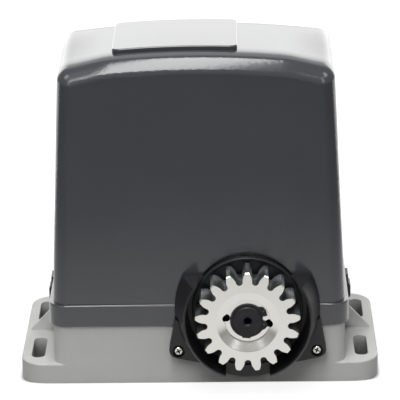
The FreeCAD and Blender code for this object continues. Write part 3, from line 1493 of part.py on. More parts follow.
# ---------------------------------------------------------------- motor
def make_motor():
    """Stator stack with bolt holes, end turns, end shield and through bolts."""
    places = []
    for angle in MOTOR_BOLT_ANGLES:
        across = "motor_bolt_ring * cos(%s)" % angle
        along = "motor_bolt_ring * sin(%s)" % angle
        places.append((MOTOR["x"] + " + " + across, MOTOR["y"] + " + " + along))
    stack = round_bar("motor_radius", "stator_high - stator_low", MOTOR["x"], MOTOR["y"],
                      "stator_low")
    tools = [
        round_bar("stator_inner", "stator_high", MOTOR["x"], MOTOR["y"],
                  "stator_low - clear_margin")]
    for x, y in places:
        tools.append(round_bar("motor_bolt_radius", "stator_high", x, y,
                               "stator_low - clear_margin"))
    sub_part(cut("stator_core_cut", stack, tools), "stator_core")
    rings = []
    for low in ("stator_low - winding_height", "stator_high"):
        body = new_body("end_turns")
        section = Profile(body, "end_turns_section", "XZ_Plane")
        high = low + " + winding_height"
        section.polygon([
            ("winding_inner + winding_round", low),
            ("winding_outer - winding_round", low),
            ("winding_outer", low + " + 2 * winding_round"),
            ("winding_outer", high + " - 2 * winding_round"),
            ("winding_outer - winding_round", high),
            ("winding_inner + winding_round", high),
            ("winding_inner", high + " - 2 * winding_round"),
            ("winding_inner", low + " + 2 * winding_round"),
        ])
        turn(body, "Revolution", "end_turns_turned", section)
        place(body, MOTOR["x"], MOTOR["y"])
        rings.append(body)
    group("stator_windings", rings)
    shield = new_body("motor_end_shield_body")
    section = Profile(shield, "end_shield_section", "XZ_Plane")
    section.polygon([
        ("shield_bore", "shield_top"),
        ("shield_hub", "shield_top"),
        ("shield_hub", "shield_shoulder"),
        ("motor_radius - shield_bevel", "shield_shoulder"),
        ("motor_radius", "shield_shoulder - shield_bevel"),
        ("motor_radius", "stator_high"),
        ("motor_rim_inner", "stator_high"),
        ("motor_rim_inner", "shield_inside"),
        ("shield_seat", "shield_inside"),
        ("shield_seat", "shield_seat_top"),
        ("shield_bore", "shield_seat_top"),
    ])
    turn(shield, "Revolution", "end_shield_turned", section)
    holes = Profile(shield, "end_shield_hole_outline", offset="stator_high - clear_margin")
    for angle in MOTOR_BOLT_ANGLES:
        holes.circle("motor_bolt_ring * cos(%s)" % angle, "motor_bolt_ring * sin(%s)" % angle,
                     "motor_bolt_radius")
    feature(shield, "Pocket", "end_shield_holes", holes, "long_cut", back=True)
    seats = Profile(shield, "end_shield_seat_outline", offset="motor_bolt_seat")
    for angle in MOTOR_BOLT_ANGLES:
        seats.circle("motor_bolt_ring * cos(%s)" % angle, "motor_bolt_ring * sin(%s)" % angle,
                     "motor_bolt_head")
    feature(shield, "Pocket", "end_shield_seats", seats, "long_cut", back=True)
    place(shield, MOTOR["x"], MOTOR["y"])
    sub_part(shield, "motor_end_shield")
    group("motor_bolts", [
        screw("motor_bolt_radius", "motor_bolt_head - flush_gap", "small_head_height",
              "motor_bolt_length", x, y, "motor_bolt_seat", Z_AXIS) for x, y in places])


make_motor()


# ---------------------------------------------------------------- manual release
def make_release():
    """Lever on the rear: its slanted inner end pushes the clutch rod in as it is turned."""
    turned_part("release_bush", [
        ("release_journal", "release_front + sink_depth"),
        ("release_bush_outer - seat_gap", "release_front + sink_depth"),
        ("release_bush_outer - seat_gap", "release_boss_rear"),
        ("release_journal", "release_boss_rear"),
    ], x="gear_axis_x", z="gear_axis_z")
    body = new_body("release_lever_body")
    section = Profile(body, "release_lever_section", "XY_Plane")
    section.polygon([
        ("0", "cam_low"),
        ("release_journal - journal_gap", "cam_low"),
        ("release_journal - journal_gap", "release_boss_rear + lever_gap"),
        ("lever_hub_radius", "release_boss_rear + lever_gap"),
        ("lever_hub_radius", "release_boss_rear + lever_hub_length - lever_hub_bevel"),
        ("lever_hub_radius - lever_hub_bevel", "release_boss_rear + lever_hub_length"),
        ("0", "release_boss_rear + lever_hub_length"),
    ])
    turn(body, "Revolution", "release_hub", section)
    arm = Profile(body, "release_arm_outline", "XZ_Plane", "-release_boss_rear - sink_depth")
    arm.polygon([
        ("0", "-lever_root_half"),
        ("0", "lever_root_half"),
        ("-release_lever_reach + lever_tip_bevel", "lever_end_half"),
        ("-release_lever_reach", "lever_tip_half"),
        ("-release_lever_reach", "-lever_tip_half"),
        ("-release_lever_reach + lever_tip_bevel", "-lever_end_half"),
    ])
    feature(body, "Pad", "release_arm", arm, "lever_thick", back=True)
    slant = Profile(body, "cam_slant_outline", "XY_Plane")
    slant.polygon([
        ("-cam_reach", "cam_low - sink_depth"),
        ("cam_reach", "cam_low - sink_depth"),
        ("cam_reach", "cam_middle + cam_reach * rod_travel / follower_radius"),
        ("-cam_reach", "cam_middle - cam_reach * rod_travel / follower_radius"),
    ])
    feature(body, "Pocket", "cam_slant", slant, through=True, symmetric=True)
    place(body, "gear_axis_x", "0", "gear_axis_z")
    sub_part(body, "release_lever")
    rod = new_body("clutch_rod_body")
    section = Profile(rod, "clutch_rod_section", "XY_Plane")
    section.polygon([
        ("0", "rod_front"), ("rod_radius - rod_bevel", "rod_front"),
        ("rod_radius", "rod_front + rod_bevel"),
        ("rod_radius", "rod_rear - rod_head_thick"), ("rod_head_radius", "rod_rear - rod_head_thick"),
        ("rod_head_radius", "rod_rear"), ("0", "rod_rear"),
    ])
    turn(rod, "Revolution", "clutch_rod_turned", section)
    follower = Profile(rod, "follower_outline", "XZ_Plane", "-rod_rear")
    follower.circle("follower_radius", "0", "follower_pin")
    feature(rod, "Pad", "follower", follower, "follower_end - rod_rear", back=True)
    place(rod, "gear_axis_x", "0", "gear_axis_z")
    sub_part(rod, "clutch_rod")


make_release()


# ---------------------------------------------------------------- electrical parts
TERMINAL_WAYS = 11
RELAY_PLACES = ("14", "38", "62")
CHIP_PLACES = (("92", "104", "50", "62"), ("40", "64", "56", "66"))


def make_electrics():
    """Transformer, capacitor, bracket with control board, limit sensor, grommet and screws."""
    core = block("core_left", "core_right", "core_front", "core_rear", "floor_thick", "core_top")
    left_limb = "core_left + core_yoke"
    right_limb = "core_right - core_yoke"
    windows = [
        block(left_limb, "core_middle_left", "coil_front", "coil_rear", "coil_low", "coil_high"),
        block("core_middle_right", right_limb, "coil_front", "coil_rear", "coil_low", "coil_high"),
    ]
    sub_part(cut("transformer_core_cut", core, windows), "transformer_core")
    coil = block(left_limb, right_limb, "coil_front", "coil_rear", "coil_low", "coil_high")
    limb = block("core_middle_left", "core_middle_right", "core_front", "core_rear",
                 "floor_thick", "core_top")
    sub_part(cut("transformer_coil_cut", coil, [limb]), "transformer_coil")
    can_top = "floor_thick + can_height"
    can = round_bar("can_radius", "can_height", "can_x", "can_y", "floor_thick")
    lid = round_bar("can_radius - can_lid_step", "can_lid_height", "can_x", "can_y", can_top)
    tags = [
        round_bar("can_tag_radius", "can_tag_height", "can_x %s can_tag_place" % side, "can_y",
                  can_top + " + can_lid_height") for side in ("-", "+")]
    sub_part(fused("run_capacitor_body", [can, lid] + tags), "run_capacitor")
    ring = round_bar("clamp_radius", "clamp_height", "can_x", "can_y", "clamp_low")
    ear = block("can_x", "leg_left_inner", "bracket_front + bracket_thick",
                "bracket_front + 2 * bracket_thick", "clamp_low", "clamp_low + clamp_height")
    hole = round_bar("can_radius", "can_height", "can_x", "can_y", "floor_thick")
    sub_part(cut("capacitor_clamp_cut", fused("clamp_blank", [ring, ear]), [hole]), "capacitor_clamp")

    front = "bracket_front"
    back = "bracket_front + bracket_thick"
    plate = block("board_left", "board_right + plate_margin", front, back,
                  "board_low - plate_drop", "board_high")
    legs = []
    foot_top = "floor_thick + bracket_thick"
    for left, right in (("leg_left_outer", "leg_left_inner"),
                        ("leg_right_inner", "leg_right_outer")):
        legs.append(block(left, right, front, back, "floor_thick", "board_low"))
        legs.append(block(left, right, front, "leg_foot_rear", "floor_thick", foot_top))
    holes = [round_bar("screw_small", "short_cut", x, y, "0") for x, y in BRACKET_SCREWS]
    board_places = [(x, z) for x in ("board_left + hole_margin", "board_right - hole_margin")
                    for z in ("board_low + hole_margin", "board_high - hole_margin")]
    for x, z in board_places:
        holes.append(round_bar("board_screw", "long_cut", x, "0", z, Y_AXIS))
    sub_part(cut("board_bracket_cut", fused("bracket_blank", [plate] + legs), holes),
             "board_bracket")
    posts = []
    for x, z in board_places:
        post = round_bar("standoff_radius", "board_front - bracket_front - bracket_thick", x, back,
                         z, Y_AXIS)
        bore = round_bar("board_screw", "short_cut", x, front, z, Y_AXIS)
        posts.append(cut("post", post, [bore]))
    group("board_standoffs", posts)
    board = block("board_left", "board_right", "board_front", "board_front + board_thick",
                  "board_low", "board_high")
    board_holes = [
        round_bar("board_screw", "long_cut", x, "0", z, Y_AXIS) for x, z in board_places]
    sub_part(cut("control_board_cut", board, board_holes), "control_board")
    group("board_screws", [
        screw("board_screw", "board_screw_head", "board_screw_height",
              "board_front + board_thick - bracket_front", x,
              "board_front + board_thick", z, Y_AXIS) for x, z in board_places])
    face = "board_front + board_thick"
    strip = block("board_left + strip_margin", "board_right - strip_margin", face,
                  face + " + strip_depth", "board_low + strip_low", "board_low + strip_high")
    entries = []
    for way in range(TERMINAL_WAYS):
        x = "board_left + strip_margin + strip_first + %d * strip_pitch" % way
        entries.append(round_bar("strip_entry", "strip_depth", x, face + " + strip_entry_floor",
                                 "board_low + strip_low + strip_first", Y_AXIS))
    sub_part(cut("terminal_strip_cut", strip, entries), "terminal_strip")
    group("board_relays", [
        block("board_left + %s" % left, "board_left + %s + relay_width" % left, face,
              face + " + relay_depth", "board_low + relay_low", "board_low + relay_high")
        for left in RELAY_PLACES])
    group("board_chips", [
        block("board_left + %s" % left, "board_left + %s" % right, face,
              face + " + chip_depth", "board_low + %s" % low, "board_low + %s" % high)
        for left, right, low, high in CHIP_PLACES])
    group("bracket_screws", [
        screw("screw_small", "screw_small_head", "small_head_height", "floor_grip", x, y,
              foot_top, Z_AXIS) for x, y in BRACKET_SCREWS])
    group("earth_screw", [
        screw("screw_small", "earth_head", "small_head_height", "earth_grip", x, y,
              "floor_thick", Z_AXIS) for x, y in EARTH_SCREW])
    saddle = block("saddle_left", "saddle_right", "saddle_front", "saddle_rear", "saddle_low",
                   "saddle_high")
    drum = round_bar("case_radius", "long_cut", "gear_axis_x", "-long_cut", "gear_axis_z",
                     Y_AXIS)
    tongue = block("saddle_left", "saddle_right", "tongue_front", "saddle_front",
                   "saddle_high - bracket_thick", "saddle_high")
    sub_part(cut("sensor_bracket_cut", fused("sensor_bracket_blank", [saddle, tongue]), [drum]),
             "sensor_bracket")
    sensor = block("saddle_left - sensor_margin", "saddle_right + sensor_margin",
                   "tongue_front - 2 * sensor_margin", "saddle_front - 2 * sensor_margin",
                   "saddle_high", "sensor_top")
    sub_part(sensor, "limit_sensor")
    turned_part("cable_grommet", [
        ("0", "sink_depth"),
        ("cable_radius - seat_gap", "sink_depth"),
        ("cable_radius - seat_gap", "floor_thick"),
        ("grommet_flange", "floor_thick"),
        ("grommet_flange", "grommet_top"),
        ("grommet_inner_top", "grommet_top"),
        ("grommet_inner", "grommet_web"),
        ("0", "grommet_web"),
    ], upright=True, x="cable_x", y="cable_y")


make_electrics()


# ---------------------------------------------------------------- checks and export
doc.recompute()
for thing in doc.Objects:
    if "Invalid" in thing.State or "Error" in thing.State:
        raise RuntimeError("%s failed: %s" % (thing.Name, thing.State))
os.makedirs("parts", exist_ok=True)
for thing in SUB_PARTS:
    shape = thing.Shape
    if shape.isNull() or not shape.isValid():
        raise RuntimeError("%s has no valid shape" % thing.Label)
    shape.exportStep("parts/%s.step" % thing.Label)
    print("%-24s %9.0f mm3  %d solids" % (thing.Label, shape.Volume, len(shape.Solids)))
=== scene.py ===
"""Dresses the sliding gate motor: finishes for every part, the detailed fasteners, and the studio."""
import logging
import math
from dataclasses import dataclass, field
from enum import Enum

import bmesh
import bpy
from mathutils import Matrix, Vector


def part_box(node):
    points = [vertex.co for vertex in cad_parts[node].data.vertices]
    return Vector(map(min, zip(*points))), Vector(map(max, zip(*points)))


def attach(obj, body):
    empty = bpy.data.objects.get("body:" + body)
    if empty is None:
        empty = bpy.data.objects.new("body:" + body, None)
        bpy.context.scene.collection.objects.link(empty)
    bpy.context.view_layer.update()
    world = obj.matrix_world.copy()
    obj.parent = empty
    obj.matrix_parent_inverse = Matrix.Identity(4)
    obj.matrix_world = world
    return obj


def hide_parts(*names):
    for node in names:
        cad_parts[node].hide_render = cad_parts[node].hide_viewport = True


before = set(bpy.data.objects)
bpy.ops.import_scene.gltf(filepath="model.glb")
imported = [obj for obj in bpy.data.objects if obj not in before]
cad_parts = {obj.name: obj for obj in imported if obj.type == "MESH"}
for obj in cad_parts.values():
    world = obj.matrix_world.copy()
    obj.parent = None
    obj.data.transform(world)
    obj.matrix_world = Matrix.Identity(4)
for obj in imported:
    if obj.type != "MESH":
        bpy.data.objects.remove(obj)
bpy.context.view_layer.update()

LOG = logging.getLogger("gate_motor")
MM = 0.001
# Vertices nearer than this are one, and a level this close counts as the same.
WELD = 1e-6
SAME_LEVEL = 1e-7
# Most of a noise texture's values lie between these.
NOISE_LOW, NOISE_HIGH = 0.35, 0.65
NodeValue = bpy.types.NodeSocket | float | tuple


class Axis(Enum):
    """The object axis that a pattern runs along or turns about."""

    X = (0.0, 1.0, 1.0)
    Y = (1.0, 0.0, 1.0)
    Z = (1.0, 1.0, 0.0)


def linear(code: str) -> tuple[float, float, float, float]:
    """Turns an sRGB hex colour into linear light.

    Args:
        code: The colour as "#rrggbb".

    Returns:
        Linear red, green and blue, and an alpha of 1.
    """
    parts = [int(code[place:place + 2], 16) / 255 for place in (1, 3, 5)]
    red, green, blue = (part / 12.92 if part <= 0.04045 else ((part + 0.055) / 1.055) ** 2.4 for part in parts)
    return red, green, blue, 1.0


def add_node(
    tree: bpy.types.NodeTree, kind: str, inputs: dict[str, NodeValue] | None = None, **settings: object
) -> bpy.types.Node:
    """Adds one shader node with its settings, values and links.

    Args:
        tree: The node tree that gets the node.
        kind: The node's type without its "ShaderNode" beginning.
        inputs: Values or other nodes' outputs, by socket name or identifier.
        settings: The node's own properties.

    Returns:
        The new node.
    """
    node = tree.nodes.new("ShaderNode" + kind)
    for name, setting in settings.items():
        setattr(node, name, setting)
    for name, given in (inputs or {}).items():
        socket = next(entry for entry in node.inputs if name in (entry.identifier, entry.name))
        if isinstance(given, bpy.types.NodeSocket):
            tree.links.new(given, socket)
        else:
            socket.default_value = given
    return node


def per_metre(size_mm: float) -> float:
    """Returns the texture scale whose features are that many millimetres across."""
    return 1.0 / (size_mm * MM)


@dataclass(frozen=True)
class Finish:
    """A surface finish whose two tones drift over the part, over a fine grain.

    Attributes:
        name: The material and how its surface was made.
        colour: The main tone as sRGB hex.
        accent: The tone that it drifts to.
        roughness: Roughness at the main tone and at the accent.
        patch_mm: Size of the drifting patches.
        grain_mm: Size of the surface grain.
        depth_mm: Height of the grain.
        metallic: 1 for bare metal, 0 for plastic and paint.
        ior: Index of refraction of plastic and paint.
        coat: Weight of a clear skin over the colour.
        coat_roughness: Roughness of that skin.
        anisotropy: Stretch of the highlights across the tool marks.
        recess: The painted shade's tone in slots and corners, where less light reaches, or "" for none.
        recess_mm: How wide a slot or corner still gets the painted shade.
        recess_open: Share of open sky at which the painted shade starts, and at which it is full.
    """

    name: str
    colour: str
    accent: str
    roughness: tuple[float, float]
    patch_mm: float
    grain_mm: float
    depth_mm: float
    metallic: float = 0.0
    ior: float = 1.5
    coat: float = 0.0
    coat_roughness: float = 0.15
    anisotropy: float = 0.0
    recess: str = ""
    recess_mm: float = 14.0
    recess_open: tuple[float, float] = (0.55, 0.2)

    def pattern(self, tree: bpy.types.NodeTree, place: bpy.types.NodeSocket) -> bpy.types.NodeSocket:
        """Adds the nodes that say where the accent shows.

        Args:
            tree: The material's node tree.
            place: Object coordinates.

        Returns:
            A factor, 0 at the main tone and 1 at the accent.
        """
        noise = add_node(
            tree, "TexNoise", {"Vector": place, "Scale": per_metre(self.patch_mm), "Detail": 4.0, "Roughness": 0.6}
        )
        return add_node(
            tree, "MapRange", {"Value": noise.outputs["Fac"], "From Min": NOISE_LOW, "From Max": NOISE_HIGH}
        ).outputs["Result"]

    def relief(self, tree: bpy.types.NodeTree, place: bpy.types.NodeSocket) -> bpy.types.NodeSocket:
        """Adds the nodes of the surface's height.

        Args:
            tree: The material's node tree.
            place: Object coordinates.

        Returns:
            The height, from 0 to 1 of the grain's depth.
        """
        return add_node(
            tree, "TexNoise", {"Vector": place, "Scale": per_metre(self.grain_mm), "Detail": 3.0}
        ).outputs["Fac"]

    def paint_recess_shade(self, tree: bpy.types.NodeTree, colour: bpy.types.NodeSocket) -> bpy.types.NodeSocket:
        """Adds painted shade to slots and corners, darker where they see less open sky.

        Args:
            tree: The material's node tree.
            colour: The colour before the painted shade.

        Returns:
            The colour with painted shade in its recesses.
        """
        open_sky = add_node(tree, "AmbientOcclusion", {"Distance": self.recess_mm * MM}, samples=8).outputs["AO"]
        start, full = self.recess_open
        depth = add_node(
            tree, "MapRange", {"Value": open_sky, "From Min": start, "From Max": full},
            interpolation_type="SMOOTHSTEP",
        ).outputs["Result"]
        mixed = add_node(
            tree, "Mix", {"Factor_Float": depth, "A_Color": colour, "B_Color": linear(self.recess)}, data_type="RGBA"
        )
        return next(out for out in mixed.outputs if out.identifier == "Result_Color")

    def make(self) -> bpy.types.Material:
        """Builds the material.

        Returns:
            The finished material.
        """
        material = bpy.data.materials.new(self.name)
        material.use_nodes = True
        material.diffuse_color = linear(self.colour)
        tree = material.node_tree
        tree.nodes.clear()
        place = add_node(tree, "TexCoord").outputs["Object"]
        factor = self.pattern(tree, place)
        tone = add_node(
            tree, "Mix",
            {"Factor_Float": factor, "A_Color": linear(self.colour), "B_Color": linear(self.accent)},
            data_type="RGBA",
        )
        colour = next(out for out in tone.outputs if out.identifier == "Result_Color")
        # Painted shade darkens slots and corners, where less light reaches.
        if self.recess:
            colour = self.paint_recess_shade(tree, colour)
        rough = add_node(
            tree, "MapRange", {"Value": factor, "To Min": self.roughness[0], "To Max": self.roughness[1]}
        )
        bump = add_node(
            tree, "Bump", {"Height": self.relief(tree, place), "Distance": self.depth_mm * MM, "Strength": 1.0}
        )
        values: dict[str, NodeValue] = {
            "Base Color": colour,
            "Roughness": rough.outputs["Result"],
            "Normal": bump.outputs["Normal"],
            "Metallic": self.metallic,
        }
        if not self.metallic:
            values["IOR"] = self.ior
        if self.coat:
            values |= {"Coat Weight": self.coat, "Coat Roughness": self.coat_roughness}
        if self.anisotropy:
            values["Anisotropic"] = self.anisotropy
        surface = add_node(tree, "BsdfPrincipled", values)
        add_node(tree, "OutputMaterial", {"Surface": surface.outputs["BSDF"]})
        return material


@dataclass(frozen=True)
class Banded(Finish):
    """A finish in parallel bands, such as stacked sheets, wound wire or drawn metal.

    Attributes:
        pitch_mm: Distance from band to band.
        along: The axis that the bands follow one another along.
    """

    pitch_mm: float = 1.0
    along: Axis = Axis.Z

    def relief(self, tree: bpy.types.NodeTree, place: bpy.types.NodeSocket) -> bpy.types.NodeSocket:
        """Adds a rounded ridge for each band.

        Args:
            tree: The material's node tree.
            place: Object coordinates.

        Returns:
            The height, from 0 to 1.
        """
        # A wave texture repeats every pi / 10 of its scaled coordinate.
        wave = add_node(
            tree, "TexWave",
            {"Vector": place, "Scale": per_metre(self.pitch_mm) * math.pi / 10, "Distortion": 0.4, "Detail": 1.0},
            wave_type="BANDS", bands_direction=self.along.name, wave_profile="SIN",
        )
        return wave.outputs["Fac"]


@dataclass(frozen=True)
class Turned(Finish):
    """A lathe-turned finish: fine rings about a shaft, over a drifting tone.

    Attributes:
        centre_mm: A point on the shaft's axis.
        about: The shaft's direction.
        ring_mm: Width of one visible tool ring.
    """

    centre_mm: tuple[float, float, float] = (0.0, 0.0, 0.0)
    about: Axis = Axis.Y
    ring_mm: float = 0.5

    def radius(self, tree: bpy.types.NodeTree, place: bpy.types.NodeSocket) -> bpy.types.NodeSocket:
        """Adds the nodes that measure the distance from the shaft's axis.

        Args:
            tree: The material's node tree.
            place: Object coordinates.

        Returns:
            The distance in metres.
        """
        flat = add_node(
            tree, "VectorMath",
            {"Vector": place, "Vector_001": tuple(-part * MM for part in self.centre_mm)}, operation="ADD",
        )
        across = add_node(
            tree, "VectorMath", {"Vector": flat.outputs["Vector"], "Vector_001": self.about.value},
            operation="MULTIPLY",
        )
        return add_node(
            tree, "VectorMath", {"Vector": across.outputs["Vector"]}, operation="LENGTH"
        ).outputs["Value"]

    def relief(self, tree: bpy.types.NodeTree, place: bpy.types.NodeSocket) -> bpy.types.NodeSocket:
        """Adds rings of uneven depth, as a lathe tool leaves them.

        Args:
            tree: The material's node tree.
            place: Object coordinates.

        Returns:
            The height, from 0 to 1.
        """
        return add_node(
            tree, "TexNoise", {"W": self.radius(tree, place), "Scale": per_metre(self.ring_mm), "Detail": 3.0},
            noise_dimensions="1D",
        ).outputs["Fac"]


@dataclass(frozen=True)
class Spangled(Finish):
    """Hot-dip galvanised sheet, whose zinc crystals each catch the light differently."""

    def pattern(self, tree: bpy.types.NodeTree, place: bpy.types.NodeSocket) -> bpy.types.NodeSocket:
        """Adds one flat shade for each crystal.

        Args:
            tree: The material's node tree.
            place: Object coordinates.

        Returns:
            A factor, 0 at the main tone and 1 at the accent.
        """
        cells = add_node(tree, "TexVoronoi", {"Vector": place, "Scale": per_metre(self.patch_mm)})
        return add_node(tree, "SeparateColor", {"Color": cells.outputs["Color"]}).outputs["Red"]


@dataclass(frozen=True)
class Tracked(Finish):
    """A circuit board's lacquer, with its copper tracks and pads showing through.

    Attributes:
        fold: Distance between tracks, as a part of a patch.
        track: Where a track's edge starts and ends, as parts of a patch.
    """

    fold: float = 0.22
    track: tuple[float, float] = (0.13, 0.16)

    def pattern(self, tree: bpy.types.NodeTree, place: bpy.types.NodeSocket) -> bpy.types.NodeSocket:
        """Adds square-cornered tracks.

        Args:
            tree: The material's node tree.
            place: Object coordinates.

        Returns:
            A factor, 0 on the lacquer and 1 on a track.
        """
        cells = add_node(
            tree, "TexVoronoi", {"Vector": place, "Scale": per_metre(self.patch_mm), "Randomness": 0.6},
            distance="CHEBYCHEV", feature="F1",
        )
        wave = add_node(
            tree, "Math", {"Value": cells.outputs["Distance"], "Value_001": self.fold}, operation="PINGPONG"
        )
        return add_node(
            tree, "MapRange",
            {"Value": wave.outputs["Value"], "From Min": self.track[0], "From Max": self.track[1]},
        ).outputs["Result"]


@dataclass(frozen=True)
class HobbedSteel(Turned):
    """A gear's zinc-plated steel: a bright turned face, and dull hobbed teeth.

    Attributes:
        dished_mm: Radius of the dished face, and where the teeth's own tone is full.
        facing: How far a face looks along the shaft where the teeth's tone starts, and where it is full.
        drawn: How far the flanks' tone is stretched along each axis, as the hob leaves it.
        dull: The share of the teeth's tone at its faintest and at its strongest.
    """

    dished_mm: tuple[float, float] = (22.6, 23.2)
    facing: tuple[float, float] = (0.35, 0.1)
    drawn: tuple[float, float, float] = (1.0, 0.12, 1.0)
    dull: tuple[float, float] = (0.45, 1.2)

    def pattern(self, tree: bpy.types.NodeTree, place: bpy.types.NodeSocket) -> bpy.types.NodeSocket:
        """Adds the mask that keeps the dull tone to the faces that the hob cut.

        Args:
            tree: The material's node tree.
            place: Object coordinates.

        Returns:
            A factor, 0 on the turned face and 1 on the teeth's flanks.
        """
        normal = add_node(tree, "TexCoord").outputs["Normal"]
        parts = add_node(tree, "SeparateXYZ", {"Vector": normal})
        turned = add_node(tree, "Math", {"Value": parts.outputs["Y"]}, operation="ABSOLUTE").outputs["Value"]
        start, full = self.facing
        flank = add_node(
            tree, "MapRange", {"Value": turned, "From Min": start, "From Max": full}
        ).outputs["Result"]
        inner, outer = (part * MM for part in self.dished_mm)
        outside = add_node(
            tree, "MapRange", {"Value": self.radius(tree, place), "From Min": inner, "From Max": outer}
        ).outputs["Result"]
        cut = add_node(tree, "Math", {"Value": flank, "Value_001": outside}, operation="MULTIPLY")
        drawn = add_node(
            tree, "VectorMath", {"Vector": place, "Vector_001": self.drawn}, operation="MULTIPLY"
        ).outputs["Vector"]
        noise = add_node(
            tree, "TexNoise", {"Vector": drawn, "Scale": per_metre(self.patch_mm), "Detail": 5.0}
        ).outputs["Fac"]
        spread = add_node(
            tree, "MapRange",
            {"Value": noise, "From Min": 0.3, "From Max": 0.7, "To Min": self.dull[0], "To Max": self.dull[1]},
        ).outputs["Result"]
        return add_node(
            tree, "Math", {"Value": cut.outputs["Value"], "Value_001": spread}, operation="MULTIPLY",
            use_clamp=True,
        ).outputs["Value"]


SHAFT_CENTRE_MM = (35.5, 0.0, 59.0)

FINISHES: dict[str, Finish] = {
    # Injection-moulded ASA, polished tool: deep grey with a clean, slightly soft gloss.
    "hood_plastic": Finish("gloss moulded ASA", "#3c3d42", "#3f4045", (0.17, 0.21), 60.0, 1.2, 0.002, coat=1.0),
    # The same plastic in a darker shade, on the cover plate.
    "panel_plastic": Finish(
        "gloss moulded ASA plate", "#36373a", "#393a3e", (0.15, 0.19), 40.0, 1.2, 0.002, coat=1.0
    ),
    # Glass-filled nylon from a lightly textured tool: nearly black, with a satin sheen; painted shade darkens its
    # notches and corners.
    "guard_plastic": Finish(
        "satin glass-filled nylon", "#17171a", "#1c1c1f", (0.34, 0.42), 18.0, 0.6, 0.008,
        recess="#08080a", recess_mm=9.0,
    ),
    # Die-cast aluminium under a fine powder coat: pale, matt, faintly pebbled; painted shade darkens its slots and
    # corners.
    "light_grey_casting": Finish(
        "powder-coated die-cast aluminium", "#d4d4d1", "#cfcfcc", (0.46, 0.54), 30.0, 0.9, 0.012,
        recess="#4e4f4e",
    ),
    # Turned and hobbed steel, zinc plated: a bright face with fine rings, and duller flanks drawn along the teeth;
    # painted shade darkens the roots between the teeth and other tight corners.
    "zinc_plated_steel": HobbedSteel(
        "turned zinc-plated steel", "#eeece6", "#8e9497", (0.22, 0.5), 1.6, 1.0, 0.004,
        metallic=1.0, centre_mm=SHAFT_CENTRE_MM, ring_mm=0.45, anisotropy=0.5, recess="#141414", recess_mm=6.0,
    ),
    # Turned steel, chemically blackened: dark, with an oily sheen and fine rings.
    "black_oxide_steel": Turned(
        "black-oxide steel", "#2a2a2c", "#343436", (0.34, 0.44), 8.0, 1.0, 0.003,
        metallic=0.7, centre_mm=SHAFT_CENTRE_MM, ring_mm=0.4,
    ),
    # Ground bearing steel: nearly a mirror, with a faint drift.
    "bright_steel": Finish("ground bearing steel", "#b9babb", "#a9abad", (0.18, 0.28), 9.0, 0.5, 0.002, metallic=1.0),
    # Cold-headed steel, nickel plated: warm and bright, with painted shade in its cross.
    "plated_screw": Finish(
        "nickel-plated steel screw", "#efece6", "#dcd8d0", (0.14, 0.24), 3.0, 0.4, 0.004, metallic=1.0,
        recess="#0e0e0e", recess_mm=1.2,
    ),
    # Gravity-cast aluminium, left raw: dull, grainy and unevenly grey.
    "raw_casting": Finish(
        "as-cast aluminium", "#a9abac", "#8f9294", (0.44, 0.62), 12.0, 1.1, 0.05, metallic=1.0
    ),
    # Turned gear bronze: yellow-brown metal with tool rings.
    "bronze": Turned(
        "turned gear bronze", "#b98a4a", "#9a6c36", (0.24, 0.4), 10.0, 1.0, 0.004,
        metallic=1.0, centre_mm=SHAFT_CENTRE_MM, ring_mm=0.6,
    ),
    # Enamelled copper wire, wound: round turns side by side under a clear brown skin.
    "copper_wire": Banded(
        "enamelled copper winding", "#a85a2b", "#8d4520", (0.28, 0.4), 5.0, 0.8, 0.25, metallic=0.8, pitch_mm=0.9,
        along=Axis.Z,
    ),
    # Stamped silicon steel, stacked: thin grey sheets, drawn coarser than their half millimetre so that they show.
    "lamination": Banded(
        "stacked silicon-steel sheet", "#70757a", "#5d6064", (0.4, 0.55), 8.0, 0.5, 0.08, metallic=1.0, pitch_mm=1.0
    ),
    # Moulded nitrile rubber: black and matt.
    "seal_rubber": Finish("moulded nitrile rubber", "#161617", "#1d1d1e", (0.6, 0.72), 6.0, 0.4, 0.01),
    # Glass-epoxy board under solder mask: glossy green, lighter over its tracks.
    "board_green": Tracked("lacquered circuit board", "#1f5a37", "#3d8a5a", (0.28, 0.2), 7.0, 0.6, 0.01),
    # Moulded polyamide: mid green, with a soft sheen.
    "terminal_green": Finish("moulded PA66 terminal", "#2f7d45", "#35874c", (0.38, 0.46), 7.0, 0.5, 0.006),
    # Transfer-moulded epoxy: black, matt and slightly gritty.
    "black_component": Finish("epoxy-moulded component", "#1b1b1d", "#242426", (0.5, 0.6), 3.0, 0.3, 0.01),
    # Moulded polypropylene: off-white, with a waxy sheen.
    "capacitor_can": Finish("moulded polypropylene case", "#dededa", "#d6d6d1", (0.36, 0.46), 14.0, 0.5, 0.006),
    # Polyester film tape, wound on: glossy amber, with a step at each layer's edge.
    "bobbin_tape": Banded(
        "polyester bobbin tape", "#c8a23c", "#b98f2c", (0.3, 0.42), 9.0, 0.5, 0.04, pitch_mm=9.0, along=Axis.Y
    ),
    # Hot-dip galvanised steel: grey crystals, each of its own shade.
    "galvanised_sheet": Spangled(
        "galvanised steel sheet", "#b4b8ba", "#989da0", (0.3, 0.46), 7.0, 0.8, 0.01, metallic=1.0
    ),
}


def show_mesh(name: str, shape: bmesh.types.BMesh, sharp_deg: float = 32.0) -> bpy.types.Object:
    """Turns a bmesh into an object in the scene, smooth but for its sharp edges.

    Args:
        name: The piece's name.
        shape: The piece's geometry in metres, which is freed.
        sharp_deg: Edges that turn by more than this stay sharp.

    Returns:
        The new object, at the origin.
    """
    bmesh.ops.recalc_face_normals(shape, faces=shape.faces)
    mesh = bpy.data.meshes.new(name)
    shape.to_mesh(mesh)
    shape.free()
    mesh.shade_smooth()
    mesh.set_sharp_from_angle(angle=math.radians(sharp_deg))
    piece = bpy.data.objects.new(name, mesh)
    bpy.context.scene.collection.objects.link(piece)
    return piece


